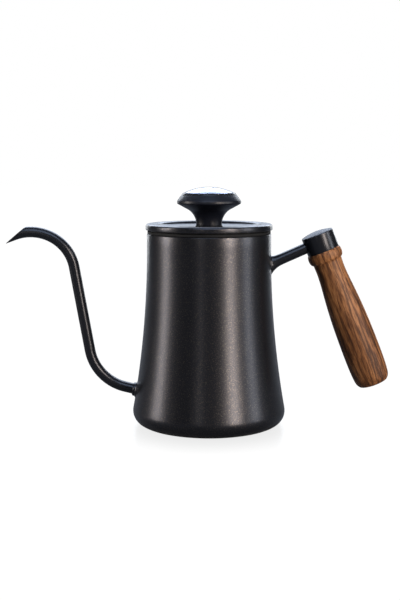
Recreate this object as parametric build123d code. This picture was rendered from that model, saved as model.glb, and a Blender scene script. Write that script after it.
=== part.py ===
from build123d import *
import math
import os

# Gooseneck pour-over kettle with a dial thermometer in the lid's knob. Millimetres.
# Origin: centre of the base, on the body's axis. +Z up, +X towards the handle, -X towards the spout.

# --- Body: a spun shell whose flank is one large arc ---------------------------------------------
WALL = 0.8                    # sheet thickness of the body and the spout
NECK_R = 39.15                # outside radius of the upright band at the mouth
SHOULDER_Z = 115.0            # height where the flank turns upright
FLANK_ARC_R = 589.0           # radius of the flank, tangent to the upright band
RIM_Z = 121.7                 # top of the mouth
CORNER_R = 9.0                # rolled corner between flank and base
BASE_PLATE_R = 36.0           # welded base disc
MOUTH_R = NECK_R - WALL

# --- Spout: one tube of tangent straight runs and arcs in the XZ plane ----------------------------
SPOUT_R = 3.42
SPOUT_START = (-40.10, 20.08)
SPOUT_HEADING = 166.4         # degrees, direction in which the tube leaves the wall
ROOT_RUN = 14.0
ROOT_BEND = (29.8, 66.5)      # radius, and the turn towards upright in degrees
NECK_RUN = 54.1
CREST_BENDS = ((26.6, 57.0), (29.3, 43.0))
NOSE_RUN = 12.0
LIP_TOP = (-116.0, 125.8)     # the oblique cut at the pouring lip passes through these two points
LIP_POINT = (-126.93, 116.6)
COLLAR_R = 4.35
COLLAR_HEIGHT = 2.6
COLLAR_Z = 21.6               # height where the spout's axis meets the wall

# --- Handle: cap, wooden grip and through bolt on one slanted axis --------------------------------
HANDLE_CENTRE = (84.44, 80.0)
HANDLE_TILT = 21.54           # degrees off upright; the top leans towards the body
CAP_R = 10.25
CAP_FOOT = 33.3               # distances along the handle's axis, measured upward from its centre
CAP_EDGE = 44.8
CAP_DOME = 1.6
CAP_WALL = 1.4
GRIP_END = -58.0
TENON_R = 8.5
TENON_TOP = 41.0
BOLT_R = 2.5                  # M5
BOLT_BORE_R = 2.8
HEAD_R = 4.25
HEAD_HEIGHT = 5.0
COUNTERBORE_R = 6.2
COUNTERBORE_DEPTH = 10.0
ARM_R = 3.5
ARM_START = (50.8, 107.9)
ARM_SLOPE = 23.9              # degrees above horizontal

# --- Lid ------------------------------------------------------------------------------------------
LID_R = 39.9
LID_SHEET = 0.7
BAND_FOOT_Z = 124.3
LIP_Z = 128.0
PAN_Z = 126.2                 # top of the recessed floor
LIP_INNER_R = 32.6
PAN_R = 31.5
VENT_R = 1.5
VENT_Y = 27.0
SKIRT_R = 37.0
SKIRT_FOOT_Z = 111.0
GASKET_GAP = 0.3              # clearance all round the seal ring, so that the lid turns in it
GASKET_FLANGE = 1.6           # thickness of the seal ring's flange on the rim

# --- Knob and thermometer -------------------------------------------------------------------------
KNOB_FOOT_Z = 126.8
KNOB_NECK_R = 8.1
KNOB_R = 20.15
KNOB_TOP_Z = 145.9
KNOB_TOP_R = 17.5
STUD_R = 4.0                  # M8 hollow stud that carries the knob
STUD_BORE_R = 2.3
STUD_FOOT_Z = 117.6
STUD_TOP_Z = 136.0
NUT_FLAT = 13.0
CASE_FLOOR_Z = 141.0
CASE_R = 16.0
DIAL_Z = 144.0
DIAL_R = 15.3
BEZEL_TOP_R = 16.4            # the ring's outside carries on the knob's slope
BEZEL_TOP_Z = 147.3
FLANGE_R = 16.2
BEZEL_LIP_R = 15.7
LENS_EDGE_Z = 147.5           # where the window's short upright edge turns into its dome
LENS_APEX_Z = 151.0
LENS_THICKNESS = 1.5
PROBE_R = 2.0
PROBE_BORE_R = 1.6
PROBE_FOOT_Z = 35.0
SPINDLE_R = 0.45
POINTER_Z = 145.0
POINTER_ANGLE = 79.0          # degrees left of the dial's top, a reading near 24 degrees Celsius
NEEDLE_LENGTH = 12.0
TAIL_LENGTH = 5.7
HUB_R = 1.25


def turned(outline):
    """Solid of revolution about Z; the outline is drawn as (radius, height)."""
    return revolve(Plane.XZ * make_face(outline), Axis.Z)


def ring(outer_r, inner_r, low, high):
    """Plain ring between two heights."""
    return turned(Polyline((inner_r, low), (outer_r, low), (outer_r, high), (inner_r, high), close=True))


def disc(radius, low, high):
    """Plain disc between two heights."""
    return turned(Polyline((0, low), (radius, low), (radius, high), (0, high), close=True))


def flank_r(height, inset=0.0):
    """Radius of the flank at a height below the shoulder."""
    drop = SHOULDER_Z - height
    return NECK_R - inset + FLANK_ARC_R - math.sqrt(FLANK_ARC_R ** 2 - drop ** 2)


# --- Body -----------------------------------------------------------------------------------------
def pot(inset):
    """Solid pot, drawn in by an inset from the outside of the sheet."""
    neck = NECK_R - inset
    flank_foot = (flank_r(inset, inset), inset)
    flank = RadiusArc((neck, SHOULDER_Z), flank_foot, -FLANK_ARC_R)
    outline = [
        Line((0, inset), flank_foot),
        flank,
        Line((neck, SHOULDER_Z), (neck, RIM_Z)),
        Line((neck, RIM_Z), (0, RIM_Z)),
        Line((0, RIM_Z), (0, inset)),
    ]
    solid = turned(outline)
    corner = solid.edges().filter_by(GeomType.CIRCLE).sort_by(Axis.Z)[0]
    return fillet(corner, CORNER_R - inset)


def spout_path():
    """Centre line of the spout, from inside the body to past the lip."""
    root = PolarLine(SPOUT_START, ROOT_RUN, SPOUT_HEADING)
    pieces = [root]
    pieces.append(JernArc(root @ 1, root % 1, ROOT_BEND[0], -ROOT_BEND[1]))
    pieces.append(Line(pieces[-1] @ 1, pieces[-1] @ 1 + (pieces[-1] % 1) * NECK_RUN))
    for radius, turn in CREST_BENDS:
        pieces.append(JernArc(pieces[-1] @ 1, pieces[-1] % 1, radius, turn))
    pieces.append(Line(pieces[-1] @ 1, pieces[-1] @ 1 + (pieces[-1] % 1) * NOSE_RUN))
    return Plane.XZ * Wire([edge for piece in pieces for edge in piece.edges()])


def swept_round(path, radius):
    """Round bar along a path."""
    start = Plane(origin=path @ 0, z_dir=path % 0)
    return sweep(start * Circle(radius), path=path)


def body_shell(path):
    shell = pot(0) - pot(WALL) - disc(MOUTH_R, RIM_Z - 8, RIM_Z + 1)
    shell = fillet(shell.edges().group_by(Axis.Z)[-1], 0.3)
    shell -= disc(BASE_PLATE_R, -1, CORNER_R)
    return shell - swept_round(path, SPOUT_R - WALL)


def base_plate():
    """Disc welded into the shell, with two shallow pressed rings in its underside."""
    plate = disc(BASE_PLATE_R, 0, WALL)
    for radius in (31.0, 24.0):
        plate -= ring(radius + 0.8, radius - 0.8, -1, 0.3)
    return plate


def lip_cutter():
    """Block on the outer side of the pouring lip's oblique cut."""
    run = LIP_TOP[0] - LIP_POINT[0]
    rise = LIP_TOP[1] - LIP_POINT[1]
    slope = math.degrees(math.atan2(rise, run))
    block = Pos(0, 0, 20) * Box(60, 20, 40)
    return Pos(LIP_TOP[0], 0, LIP_TOP[1]) * Rot(0, -slope, 0) * block


def spout_tube(path):
    tube = swept_round(path, SPOUT_R) - swept_round(path, SPOUT_R - WALL)
    tube -= pot(0)
    return tube - lip_cutter()


def spout_collar(path):
    """Rounded weld ring where the spout enters the wall."""
    wall_lean = math.degrees(math.asin((SHOULDER_Z - COLLAR_Z) / FLANK_ARC_R))
    foot = Pos(-flank_r(COLLAR_Z), 0, COLLAR_Z) * Rot(0, -90 + wall_lean, 0)
    bead = foot * (Pos(0, 0, COLLAR_HEIGHT / 2 - 2) * Cylinder(COLLAR_R, COLLAR_HEIGHT + 4))
    bead = fillet(bead.edges().sort_by(Axis.X)[0], 1.0)
    return bead - swept_round(path, SPOUT_R) - pot(0)


# --- Handle ---------------------------------------------------------------------------------------
def on_handle(shape):
    """Place a shape drawn about Z on the handle's slanted axis."""
    return Pos(HANDLE_CENTRE[0], 0, HANDLE_CENTRE[1]) * Rot(0, -HANDLE_TILT, 0) * shape


def cap_blank():
    """Outside of the cap, with a low domed top."""
    return turned([
        Line((0, CAP_FOOT), (CAP_R, CAP_FOOT)),
        Line((CAP_R, CAP_FOOT), (CAP_R, CAP_EDGE)),
        ThreePointArc((CAP_R, CAP_EDGE), (CAP_R / 2, CAP_EDGE + 0.75 * CAP_DOME), (0, CAP_EDGE + CAP_DOME)),
        Line((0, CAP_EDGE + CAP_DOME), (0, CAP_FOOT)),
    ])


def handle_cap():
    """Cup over the grip's tenon."""
    cup = cap_blank()
    rims = cup.edges().filter_by(GeomType.CIRCLE).sort_by(Axis.Z)
    cup = fillet(rims, 0.35)
    cup -= disc(CAP_R - CAP_WALL, CAP_FOOT - 1, CAP_EDGE - CAP_WALL)
    return on_handle(cup)


def cap_boss():
    """Threaded boss welded under the cap's roof, which takes the bolt."""
    boss = ring(BOLT_R + 1.9, BOLT_R, TENON_TOP - 6, CAP_EDGE - CAP_WALL)
    return on_handle(boss)


def handle_grip():
    """Turned wooden grip: bead below the cap, waist, swelling palm and rounded end."""
    bead_foot = (10.0, 26.7)
    neck = (9.25, 26.1)
    heel = (11.4, -51.0)
    outline = [
        Line((BOLT_BORE_R, TENON_TOP), (TENON_R, TENON_TOP)),
        Line((TENON_R, TENON_TOP), (TENON_R, CAP_FOOT)),
        Line((TENON_R, CAP_FOOT), (CAP_R, CAP_FOOT)),
        Spline((CAP_R, CAP_FOOT), (11.05, 30.2), bead_foot, tangents=((0.9, -1), (-1, -0.8))),
        Line(bead_foot, neck),
        Spline(
            neck, (9.03, 20.0), (9.85, 8.0), (11.1, -7.4), (11.8, -32.0), heel,
            tangents=((-0.06, -1), (-0.06, -1)),
        ),
        Spline(heel, (10.7, -55.8), (7.8, GRIP_END), tangents=((-0.06, -1), (-1, 0))),
        Line((7.8, GRIP_END), (BOLT_BORE_R, GRIP_END)),
        Line((BOLT_BORE_R, GRIP_END), (BOLT_BORE_R, TENON_TOP)),
    ]
    grip = turned(outline)
    grip -= disc(COUNTERBORE_R, GRIP_END - 1, GRIP_END + COUNTERBORE_DEPTH)
    grip -= disc(BOLT_R + 2.2, TENON_TOP - 6.3, TENON_TOP + 1)
    return on_handle(grip)


def handle_washers():
    """Flat washer on the counterbore's floor, and a split spring washer on it."""
    floor = GRIP_END + COUNTERBORE_DEPTH
    flat = ring(5.0, BOLT_R + 0.15, floor - 1.0, floor)
    spring = ring(4.4, BOLT_R + 0.1, floor - 2.2, floor - 1.0)
    split = Pos(3.5, 0, floor - 1.6) * Rot(30, 0, 0) * Box(4, 0.5, 4)
    return on_handle(flat), on_handle(spring - split)


def handle_bolt():
    """Socket-head bolt from the counterbore up into the boss."""
    head_top = GRIP_END + COUNTERBORE_DEPTH - 2.2
    shank = disc(BOLT_R - 0.03, head_top, CAP_EDGE - CAP_WALL - 0.5)
    head = disc(HEAD_R, head_top - HEAD_HEIGHT, head_top)
    head = chamfer(head.edges().group_by(Axis.Z)[0], 0.4)
    socket = Pos(0, 0, head_top - HEAD_HEIGHT) * extrude(RegularPolygon(2.0, 6, major_radius=False), 2.6)
    return on_handle(shank + head - socket)


def handle_arm():
    """Round bar from the mouth to the cap, flaring into a tall foot on the wall."""
    slope = math.radians(ARM_SLOPE)
    along = Vector(math.cos(slope), 0, math.sin(slope))
    start = Vector(ARM_START[0], 0, ARM_START[1])
    bar_plane = Plane(origin=start - along * 4.0, z_dir=along)
    bar = extrude(bar_plane * Circle(ARM_R), 22)
    sections = [
        Plane(origin=(37.0, 0, 100.6), x_dir=(0, 1, 0), z_dir=(1, 0, 0.10)) * Ellipse(4.3, 7.4),
        Plane(origin=(40.6, 0, 102.6), x_dir=(0, 1, 0), z_dir=(1, 0, 0.22)) * Ellipse(3.8, 5.5),
        Plane(origin=(43.6, 0, 104.4), x_dir=(0, 1, 0), z_dir=(1, 0, 0.34)) * Ellipse(3.55, 4.2),
        bar_plane * Circle(ARM_R),
    ]
    foot = loft(sections)
    cap_space = on_handle(disc(CAP_R, CAP_FOOT, CAP_EDGE))
    return bar + foot - pot(0) - cap_space


# --- Lid ------------------------------------------------------------------------------------------
def lid_pan():
    """Pressed lid: outer band, rolled lip and recessed floor, all of one sheet."""
    half = LID_SHEET / 2
    centre = FilletPolyline(
        (LID_R - half, BAND_FOOT_Z + half),
        (LID_R - half, LIP_Z - half),
        (LIP_INNER_R + half, LIP_Z - half),
        (PAN_R, PAN_Z - half),
        (STUD_R + 0.2 + half, PAN_Z - half),
        radius=(1.2, 1.1, 1.0),
    )
    outline = centre.wire().offset_2d(half, kind=Kind.ARC, side=Side.BOTH, closed=True)
    pan = turned(outline.edges())
    return pan - Pos(0, VENT_Y, PAN_Z) * Cylinder(VENT_R, 4)


def lid_skirt():
    """Ring welded under the pan's lip: flange, upright wall and an outward bead at its foot."""
    top = LIP_Z - LID_SHEET
    half = LID_SHEET / 2
    centre = FilletPolyline(
        (34.4, top - half),
        (SKIRT_R - half, top - half),
        (SKIRT_R - half, SKIRT_FOOT_Z + half),
        (SKIRT_R + 0.65, SKIRT_FOOT_Z + half),
        radius=(0.8, 0.5),
    )
    return turned(centre.wire().offset_2d(half, kind=Kind.ARC, side=Side.BOTH, closed=True).edges())


def lid_gasket():
    """Silicone ring: a flange on the rim and two lips inside the mouth."""
    inner = SKIRT_R + GASKET_GAP
    sleeve = inner + 0.4
    lip = MOUTH_R - GASKET_GAP
    low = SKIRT_FOOT_Z + LID_SHEET + GASKET_GAP
    flange_low = RIM_Z + GASKET_GAP
    outline = [(inner, low), (sleeve, low)]
    for height in (low + 1.5, low + 5.0):
        outline += [(sleeve, height), (lip, height + 0.7), (lip, height + 1.1), (sleeve, height + 1.5)]
    outline += [(sleeve, flange_low), (38.8, flange_low), (38.8, flange_low + GASKET_FLANGE),
                (inner, flange_low + GASKET_FLANGE)]
    return turned(Polyline(*outline, close=True))


# --- Knob and its fixings -------------------------------------------------------------------------
def knob():
    """Moulded knob: slim neck, wide grooved head and a well for the thermometer."""
    centre = FilletPolyline(
        (KNOB_NECK_R, KNOB_FOOT_Z),
        (KNOB_NECK_R, 134.09),
        (KNOB_R, 140.63),
        (KNOB_R, 142.3),
        (KNOB_TOP_R, KNOB_TOP_Z),
        radius=(10.0, 1.0, 1.2),
    )
    inside = Polyline(
        (KNOB_TOP_R, KNOB_TOP_Z),
        (CASE_R, KNOB_TOP_Z),
        (CASE_R, CASE_FLOOR_Z),
        (STUD_BORE_R, CASE_FLOOR_Z),
        (STUD_BORE_R, STUD_TOP_Z),
        (STUD_R, STUD_TOP_Z),
        (STUD_R, KNOB_FOOT_Z),
        (KNOB_NECK_R, KNOB_FOOT_Z),
    )
    return turned(centre.edges() + inside.edges())


def knob_seal():
    return ring(8.6, STUD_R + 0.1, PAN_Z, KNOB_FOOT_Z)


def knob_stud():
    """Hollow threaded stud; the probe runs through it."""
    return ring(STUD_R, STUD_BORE_R, STUD_FOOT_Z, STUD_TOP_Z)


def nut_washer():
    top = PAN_Z - LID_SHEET
    return ring(8.0, STUD_R + 0.2, top - 1.0, top)


def knob_nut():
    """Thin hexagon nut under the pan."""
    top = PAN_Z - LID_SHEET - 1.0
    blank = Pos(0, 0, top - 4) * extrude(RegularPolygon(NUT_FLAT / 2, 6, major_radius=False), 4)
    cone = turned(Polyline((0, top - 4.4), (6.1, top - 4.4), (9.0, top - 2.8), (9.0, top), (0, top), close=True))
    return (blank & cone) - disc(STUD_R, top - 5, top + 1)


# --- Thermometer ----------------------------------------------------------------------------------
def thermometer_case():
    """Pressed cup in the knob's well, with a ledge for the dial."""
    return turned(Polyline(
        (PROBE_R, CASE_FLOOR_Z),
        (CASE_R, CASE_FLOOR_Z),
        (CASE_R, KNOB_TOP_Z),
        (DIAL_R + 0.1, KNOB_TOP_Z),
        (DIAL_R + 0.1, DIAL_Z - 0.4),
        (DIAL_R - 0.8, DIAL_Z - 0.4),
        (DIAL_R - 0.8, CASE_FLOOR_Z + 0.7),
        (PROBE_R, CASE_FLOOR_Z + 0.7),
        close=True,
    ))


def dial_plate():
    return ring(DIAL_R, SPINDLE_R + 0.3, DIAL_Z - 0.4, DIAL_Z)


def lens_gasket():
    return ring(FLANGE_R, DIAL_R + 0.1, KNOB_TOP_Z, KNOB_TOP_Z + 0.4)


def bezel_ring():
    """Black ring whose lip holds the lens down on its gasket."""
    bezel = turned(Polyline(
        (FLANGE_R + 0.1, KNOB_TOP_Z),
        (KNOB_TOP_R, KNOB_TOP_Z),
        (BEZEL_TOP_R, BEZEL_TOP_Z),
        (BEZEL_LIP_R, BEZEL_TOP_Z),
        (BEZEL_LIP_R, BEZEL_TOP_Z - 0.4),
        (FLANGE_R + 0.1, BEZEL_TOP_Z - 0.4),
        close=True,
    ))
    outer_top = bezel.edges().filter_by(GeomType.CIRCLE).group_by(Axis.Z)[-1].sort_by(SortBy.RADIUS)[-1]
    return fillet(outer_top, 0.25)


def lens():
    """Domed window with a flat flange under the bezel's lip."""
    flange_low = KNOB_TOP_Z + 0.4
    flange_top = BEZEL_TOP_Z - 0.4
    dome_foot = BEZEL_LIP_R - 0.1
    rise = LENS_APEX_Z - LENS_EDGE_Z
    outer_r = (dome_foot ** 2 + rise ** 2) / (2 * rise)
    centre_z = LENS_APEX_Z - outer_r
    inner_r = outer_r - LENS_THICKNESS
    inner_foot = math.sqrt(inner_r ** 2 - (flange_low - centre_z) ** 2)
    return turned([
        Line((inner_foot, flange_low), (FLANGE_R, flange_low)),
        Line((FLANGE_R, flange_low), (FLANGE_R, flange_top)),
        Line((FLANGE_R, flange_top), (dome_foot, flange_top)),
        Line((dome_foot, flange_top), (dome_foot, LENS_EDGE_Z)),
        RadiusArc((dome_foot, LENS_EDGE_Z), (0, LENS_APEX_Z), -outer_r),
        Line((0, LENS_APEX_Z), (0, LENS_APEX_Z - LENS_THICKNESS)),
        RadiusArc((0, LENS_APEX_Z - LENS_THICKNESS), (inner_foot, flange_low), inner_r),
    ])


def probe_tube():
    return ring(PROBE_R, PROBE_BORE_R, PROBE_FOOT_Z + PROBE_R, CASE_FLOOR_Z + 0.7)


def probe_tip():
    """Round-nosed plug that closes the probe."""
    shoulder = PROBE_FOOT_Z + PROBE_R
    return turned([
        RadiusArc((0, PROBE_FOOT_Z), (PROBE_R, shoulder), -PROBE_R),
        Line((PROBE_R, shoulder), (PROBE_BORE_R, shoulder)),
        Line((PROBE_BORE_R, shoulder), (PROBE_BORE_R, shoulder + 2)),
        Line((PROBE_BORE_R, shoulder + 2), (0, shoulder + 2)),
        Line((0, shoulder + 2), (0, PROBE_FOOT_Z)),
    ])


def bimetal_coil():
    """Helix that turns the spindle as it warms; sealed inside the probe."""
    pitch = 1.5
    radius = 1.1
    helix = Pos(0, 0, PROBE_FOOT_Z + PROBE_R + 3) * Helix(pitch, 12 * pitch, radius)
    start = Plane(origin=helix @ 0, z_dir=helix % 0)
    return sweep(start * Circle(0.16), path=helix, is_frenet=True)


# --- Pointer --------------------------------------------------------------------------------------
def at_reading(shape):
    """Turn a shape drawn pointing along +Y to the stored reading."""
    return Rot(0, 0, POINTER_ANGLE) * shape


def pointer_needle():
    """Flat needle, tapering to a point, with a rounded tail."""
    blade = make_face(Polyline((-0.75, 0), (0.75, 0), (0.16, NEEDLE_LENGTH), (-0.16, NEEDLE_LENGTH), close=True))
    tail = Pos(0, -TAIL_LENGTH / 2) * SlotOverall(TAIL_LENGTH + 1.4, 1.4, rotation=90)
    plate = blade + tail - Circle(SPINDLE_R)
    return at_reading(Pos(0, 0, POINTER_Z) * extrude(plate, 0.3))


def pointer_hub():
    """Boss pressed on the spindle below the needle."""
    return ring(HUB_R, SPINDLE_R, POINTER_Z - 0.6, POINTER_Z)


def pointer_cap():
    """Cap that clamps the needle on its boss."""
    cap = ring(HUB_R, SPINDLE_R, POINTER_Z + 0.3, POINTER_Z + 0.9)
    return chamfer(cap.edges().filter_by(GeomType.CIRCLE).group_by(Axis.Z)[-1].sort_by(SortBy.RADIUS)[-1], 0.3)


def pointer_spindle():
    """Thin rod from the helix up to the needle."""
    top = POINTER_Z + 1.1
    return disc(SPINDLE_R, PROBE_FOOT_Z + 8.0, top)


def build():
    """Every sub-part of the kettle by name."""
    path = spout_path()
    washer, spring_washer = handle_washers()
    return {
        "body_shell": body_shell(path),
        "base_plate": base_plate(),
        "spout_tube": spout_tube(path),
        "spout_collar": spout_collar(path),
        "handle_arm": handle_arm(),
        "handle_cap": handle_cap(),
        "cap_boss": cap_boss(),
        "handle_grip": handle_grip(),
        "handle_washer": washer,
        "handle_spring_washer": spring_washer,
        "handle_bolt": handle_bolt(),
        "lid_gasket": lid_gasket(),
        "lid_pan": lid_pan(),
        "lid_skirt": lid_skirt(),
        "knob_seal": knob_seal(),
        "knob": knob(),
        "knob_stud": knob_stud(),
        "nut_washer": nut_washer(),
        "knob_nut": knob_nut(),
        "thermometer_case": thermometer_case(),
        "dial_plate": dial_plate(),
        "lens_gasket": lens_gasket(),
        "lens": lens(),
        "bezel_ring": bezel_ring(),
        "probe_tube": probe_tube(),
        "probe_tip": probe_tip(),
        "bimetal_coil": bimetal_coil(),
        "pointer_needle": pointer_needle(),
        "pointer_hub": pointer_hub(),
        "pointer_cap": pointer_cap(),
        "pointer_spindle": pointer_spindle(),
    }


os.makedirs("parts", exist_ok=True)
for name, shape in build().items():
    export_step(shape, f"parts/{name}.step")
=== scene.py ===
"""Visual model of a gooseneck pour-over kettle with a thermometer in its lid knob."""
import logging
import math
from dataclasses import dataclass, field
from enum import Enum
from typing import Any, Callable, Iterable, Mapping, Optional, Sequence

import bmesh
import bpy
from mathutils import Matrix, Vector


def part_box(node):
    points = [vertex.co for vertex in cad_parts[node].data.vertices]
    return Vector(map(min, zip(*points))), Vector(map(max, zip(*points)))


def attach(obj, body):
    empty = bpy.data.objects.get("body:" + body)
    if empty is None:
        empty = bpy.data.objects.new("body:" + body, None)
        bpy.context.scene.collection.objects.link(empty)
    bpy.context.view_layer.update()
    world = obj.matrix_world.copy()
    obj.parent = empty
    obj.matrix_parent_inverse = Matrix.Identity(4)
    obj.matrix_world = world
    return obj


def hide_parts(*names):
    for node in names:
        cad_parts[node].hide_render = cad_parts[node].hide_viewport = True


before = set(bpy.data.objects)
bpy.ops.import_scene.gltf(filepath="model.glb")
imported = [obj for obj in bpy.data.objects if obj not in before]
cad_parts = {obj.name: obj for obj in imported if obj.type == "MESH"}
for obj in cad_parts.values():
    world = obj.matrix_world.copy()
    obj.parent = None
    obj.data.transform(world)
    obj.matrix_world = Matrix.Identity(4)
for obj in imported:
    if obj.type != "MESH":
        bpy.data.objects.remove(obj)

MM = 0.001                      # pieces are drawn in millimetres and stored in metres
FULL_TURN = 2.0 * math.pi
UP = Vector((0.0, 0.0, 1.0))
LOG = logging.getLogger("kettle")
Colour = tuple[float, float, float]


class Body(Enum):
    """The rigid groups that pieces ride on."""

    KETTLE = "kettle"
    SEAL = "lid_seal"
    LID = "lid"
    POINTER = "pointer"


# --------------------------------------------------------------------------------------------------
# Shader work
# --------------------------------------------------------------------------------------------------
class Signal:
    """A shader socket that takes part in Python arithmetic."""

    def __init__(self, recipe: "Recipe", socket: bpy.types.NodeSocket) -> None:
        """Wrap one output socket of a recipe."""
        self.recipe = recipe
        self.socket = socket

    def _maths(self, operation: str, first: Any, second: Any) -> "Signal":
        """Add one Math node.

        Args:
            operation: the Math node's operation.
            first: number or signal for its first socket.
            second: number or signal for its second socket.

        Returns:
            The node's output.
        """
        return self.recipe.node("ShaderNodeMath", {"operation": operation}, {0: first, 1: second})

    def __add__(self, other: Any) -> "Signal":
        """Sum."""
        return self._maths("ADD", self, other)

    __radd__ = __add__

    def __sub__(self, other: Any) -> "Signal":
        """Difference."""
        return self._maths("SUBTRACT", self, other)

    def __rsub__(self, other: Any) -> "Signal":
        """Difference, reflected."""
        return self._maths("SUBTRACT", other, self)

    def __mul__(self, other: Any) -> "Signal":
        """Product."""
        return self._maths("MULTIPLY", self, other)

    __rmul__ = __mul__

    def __pow__(self, other: Any) -> "Signal":
        """Power."""
        return self._maths("POWER", self, other)

    def clipped(self) -> "Signal":
        """The signal held between 0 and 1."""
        return self._maths("MINIMUM", self._maths("MAXIMUM", self, 0.0), 1.0)


class Recipe:
    """The node tree of one material, or of the surroundings."""

    def __init__(self, tree: bpy.types.NodeTree) -> None:
        """Clear a tree and start on it."""
        self.tree = tree
        self.tree.nodes.clear()

    def node(self, kind: str, settings: Optional[Mapping[str, Any]] = None,
             sockets: Optional[Mapping[Any, Any]] = None, output: Any = 0) -> Signal:
        """Add a node of any type.

        Args:
            kind: the node's type.
            settings: its properties, set first; "stops" are a ramp's (place, colour) pairs.
            sockets: numbers, colours or signals for its inputs.
            output: which output to return.

        Returns:
            The chosen output.
        """
        made = self.tree.nodes.new(kind)
        for key, value in (settings or {}).items():
            if key == "stops":
                elements = made.color_ramp.elements
                while len(elements) < len(value):
                    elements.new(0.5)
                for element, (place, colour) in zip(elements, value):
                    element.position = place
                    element.color = (*colour, 1.0)
            else:
                setattr(made, key, value)
        for key, value in (sockets or {}).items():
            socket = made.inputs[key]
            if isinstance(value, Signal):
                self.tree.links.new(value.socket, socket)
            else:
                socket.default_value = (*value, 1.0) if socket.type == "RGBA" else value
        return Signal(self, made.outputs[output])

    def place(self) -> Signal:
        """Object coordinates, in metres."""
        return self.node("ShaderNodeTexCoord", output="Object")

    def mapped(self, location: Sequence[float] = (0, 0, 0), rotation: Sequence[float] = (0, 0, 0),
               scale: Sequence[float] = (1, 1, 1), vector: Optional[Signal] = None) -> Signal:
        """Coordinates turned, scaled and moved by a Mapping node."""
        sockets = {"Vector": vector or self.place(), "Location": location, "Rotation": rotation, "Scale": scale}
        return self.node("ShaderNodeMapping", {"vector_type": "POINT"}, sockets)

    def noise(self, vector: Signal, scale: float, detail: float = 2.0, roughness: float = 0.5,
              distortion: float = 0.0) -> Signal:
        """Fractal noise between 0 and 1."""
        sockets = {"Vector": vector, "Scale": scale, "Detail": detail, "Roughness": roughness,
                   "Distortion": distortion}
        return self.node("ShaderNodeTexNoise", {}, sockets, "Fac")

    def rings(self, vector: Signal, sockets: Mapping[str, float]) -> Signal:
        """Rings round Z, between 0 and 1."""
        settings = {"wave_type": "RINGS", "rings_direction": "Z"}
        return self.node("ShaderNodeTexWave", settings, {"Vector": vector, **sockets}, "Fac")

    def ramp(self, value: Signal, stops: Sequence[tuple[float, Colour]]) -> Signal:
        """Colour ramp."""
        return self.node("ShaderNodeValToRGB", {"stops": stops}, {"Fac": value}, "Color")

    def step(self, value: Signal, low: float, high: float) -> Signal:
        """Smooth step from 0 at low to 1 at high."""
        settings = {"interpolation_type": "SMOOTHSTEP"}
        return self.node("ShaderNodeMapRange", settings, {"Value": value, "From Min": low, "From Max": high})

    def blend(self, amount: Any, first: Any, second: Any) -> Signal:
        """Colour between two colours."""
        return self.node("ShaderNodeMix", {"data_type": "RGBA"}, {0: amount, 6: first, 7: second}, 2)

    def bump(self, height: Signal, strength: float, distance: float) -> Signal:
        """Surface relief from a height signal."""
        sockets = {"Height": height, "Strength": strength, "Distance": distance}
        return self.node("ShaderNodeBump", {}, sockets, "Normal")

    def mixed(self, amount: Signal, first: Signal, second: Signal) -> Signal:
        """Surface between two surfaces."""
        return self.node("ShaderNodeMixShader", {}, {0: amount, 1: first, 2: second})

    def principled(self, sockets: Mapping[str, Any]) -> Signal:
        """Principled surface."""
        return self.node("ShaderNodeBsdfPrincipled", {}, sockets, "BSDF")

    def end(self, kind: str, surface: Signal) -> None:
        """Connect the surface to an output node of a type."""
        self.tree.links.new(surface.socket, self.tree.nodes.new(kind).inputs["Surface"])


def grey(value: float) -> Colour:
    """Neutral colour."""
    return (value, value, value)


@dataclass(frozen=True)
class Finish:
    """A named surface finish; its material is made once."""

    name: str = "finish"

    def build(self, recipe: Recipe) -> Signal:
        """Lay out the finish's nodes and return its surface."""
        raise NotImplementedError

    def material(self) -> bpy.types.Material:
        """The finish's material."""
        found = bpy.data.materials.get(self.name)
        if found is None:
            found = bpy.data.materials.new(self.name)
            found.use_nodes = True
            recipe = Recipe(found.node_tree)
            recipe.end("ShaderNodeOutputMaterial", self.build(recipe))
        return found


@dataclass(frozen=True)
class AxialFinish(Finish):
    """A finish whose pattern follows a leaning axis."""

    centre: tuple[float, float, float] = (0.0, 0.0, 0.0)
    tilt: float = 0.0

    def along(self, recipe: Recipe) -> Signal:
        """Coordinates centred on the axis, with Z running up it."""
        shift = Matrix.Rotation(self.tilt, 3, "Y") @ Vector(self.centre)
        return recipe.mapped(location=tuple(-shift), rotation=(0.0, self.tilt, 0.0))


@dataclass(frozen=True)
class FleckCoat(Finish):
    """Satin gunmetal coating with fine metallic fleck."""

    name: str = "gunmetal_fleck_coat"
    dark: Colour = (0.027, 0.028, 0.033)
    light: Colour = (0.074, 0.067, 0.061)
    roughness: float = 0.30

    def build(self, recipe: Recipe) -> Signal:
        """Dark ground, scattered flakes and a very fine orange-peel."""
        place = recipe.place()
        flake = recipe.noise(place, 1900.0, 1.0, 0.4)
        spark = recipe.step(flake, 0.54, 0.70)
        cloud = recipe.noise(place, 18.0, 3.0)
        peel = recipe.noise(place, 900.0, 2.0)
        return recipe.principled({
            "Base Color": recipe.blend(spark, self.dark, self.light),
            "Metallic": 0.90 + 0.06 * spark,
            "Roughness": self.roughness + 0.03 * cloud - 0.02 * spark,
            "Specular IOR Level": 0.42,
            "Coat Weight": 0.12,
            "Coat Roughness": 0.30,
            "Normal": recipe.bump(peel * 0.5 + flake * 0.5, 0.06, 0.00004),
        })


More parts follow.
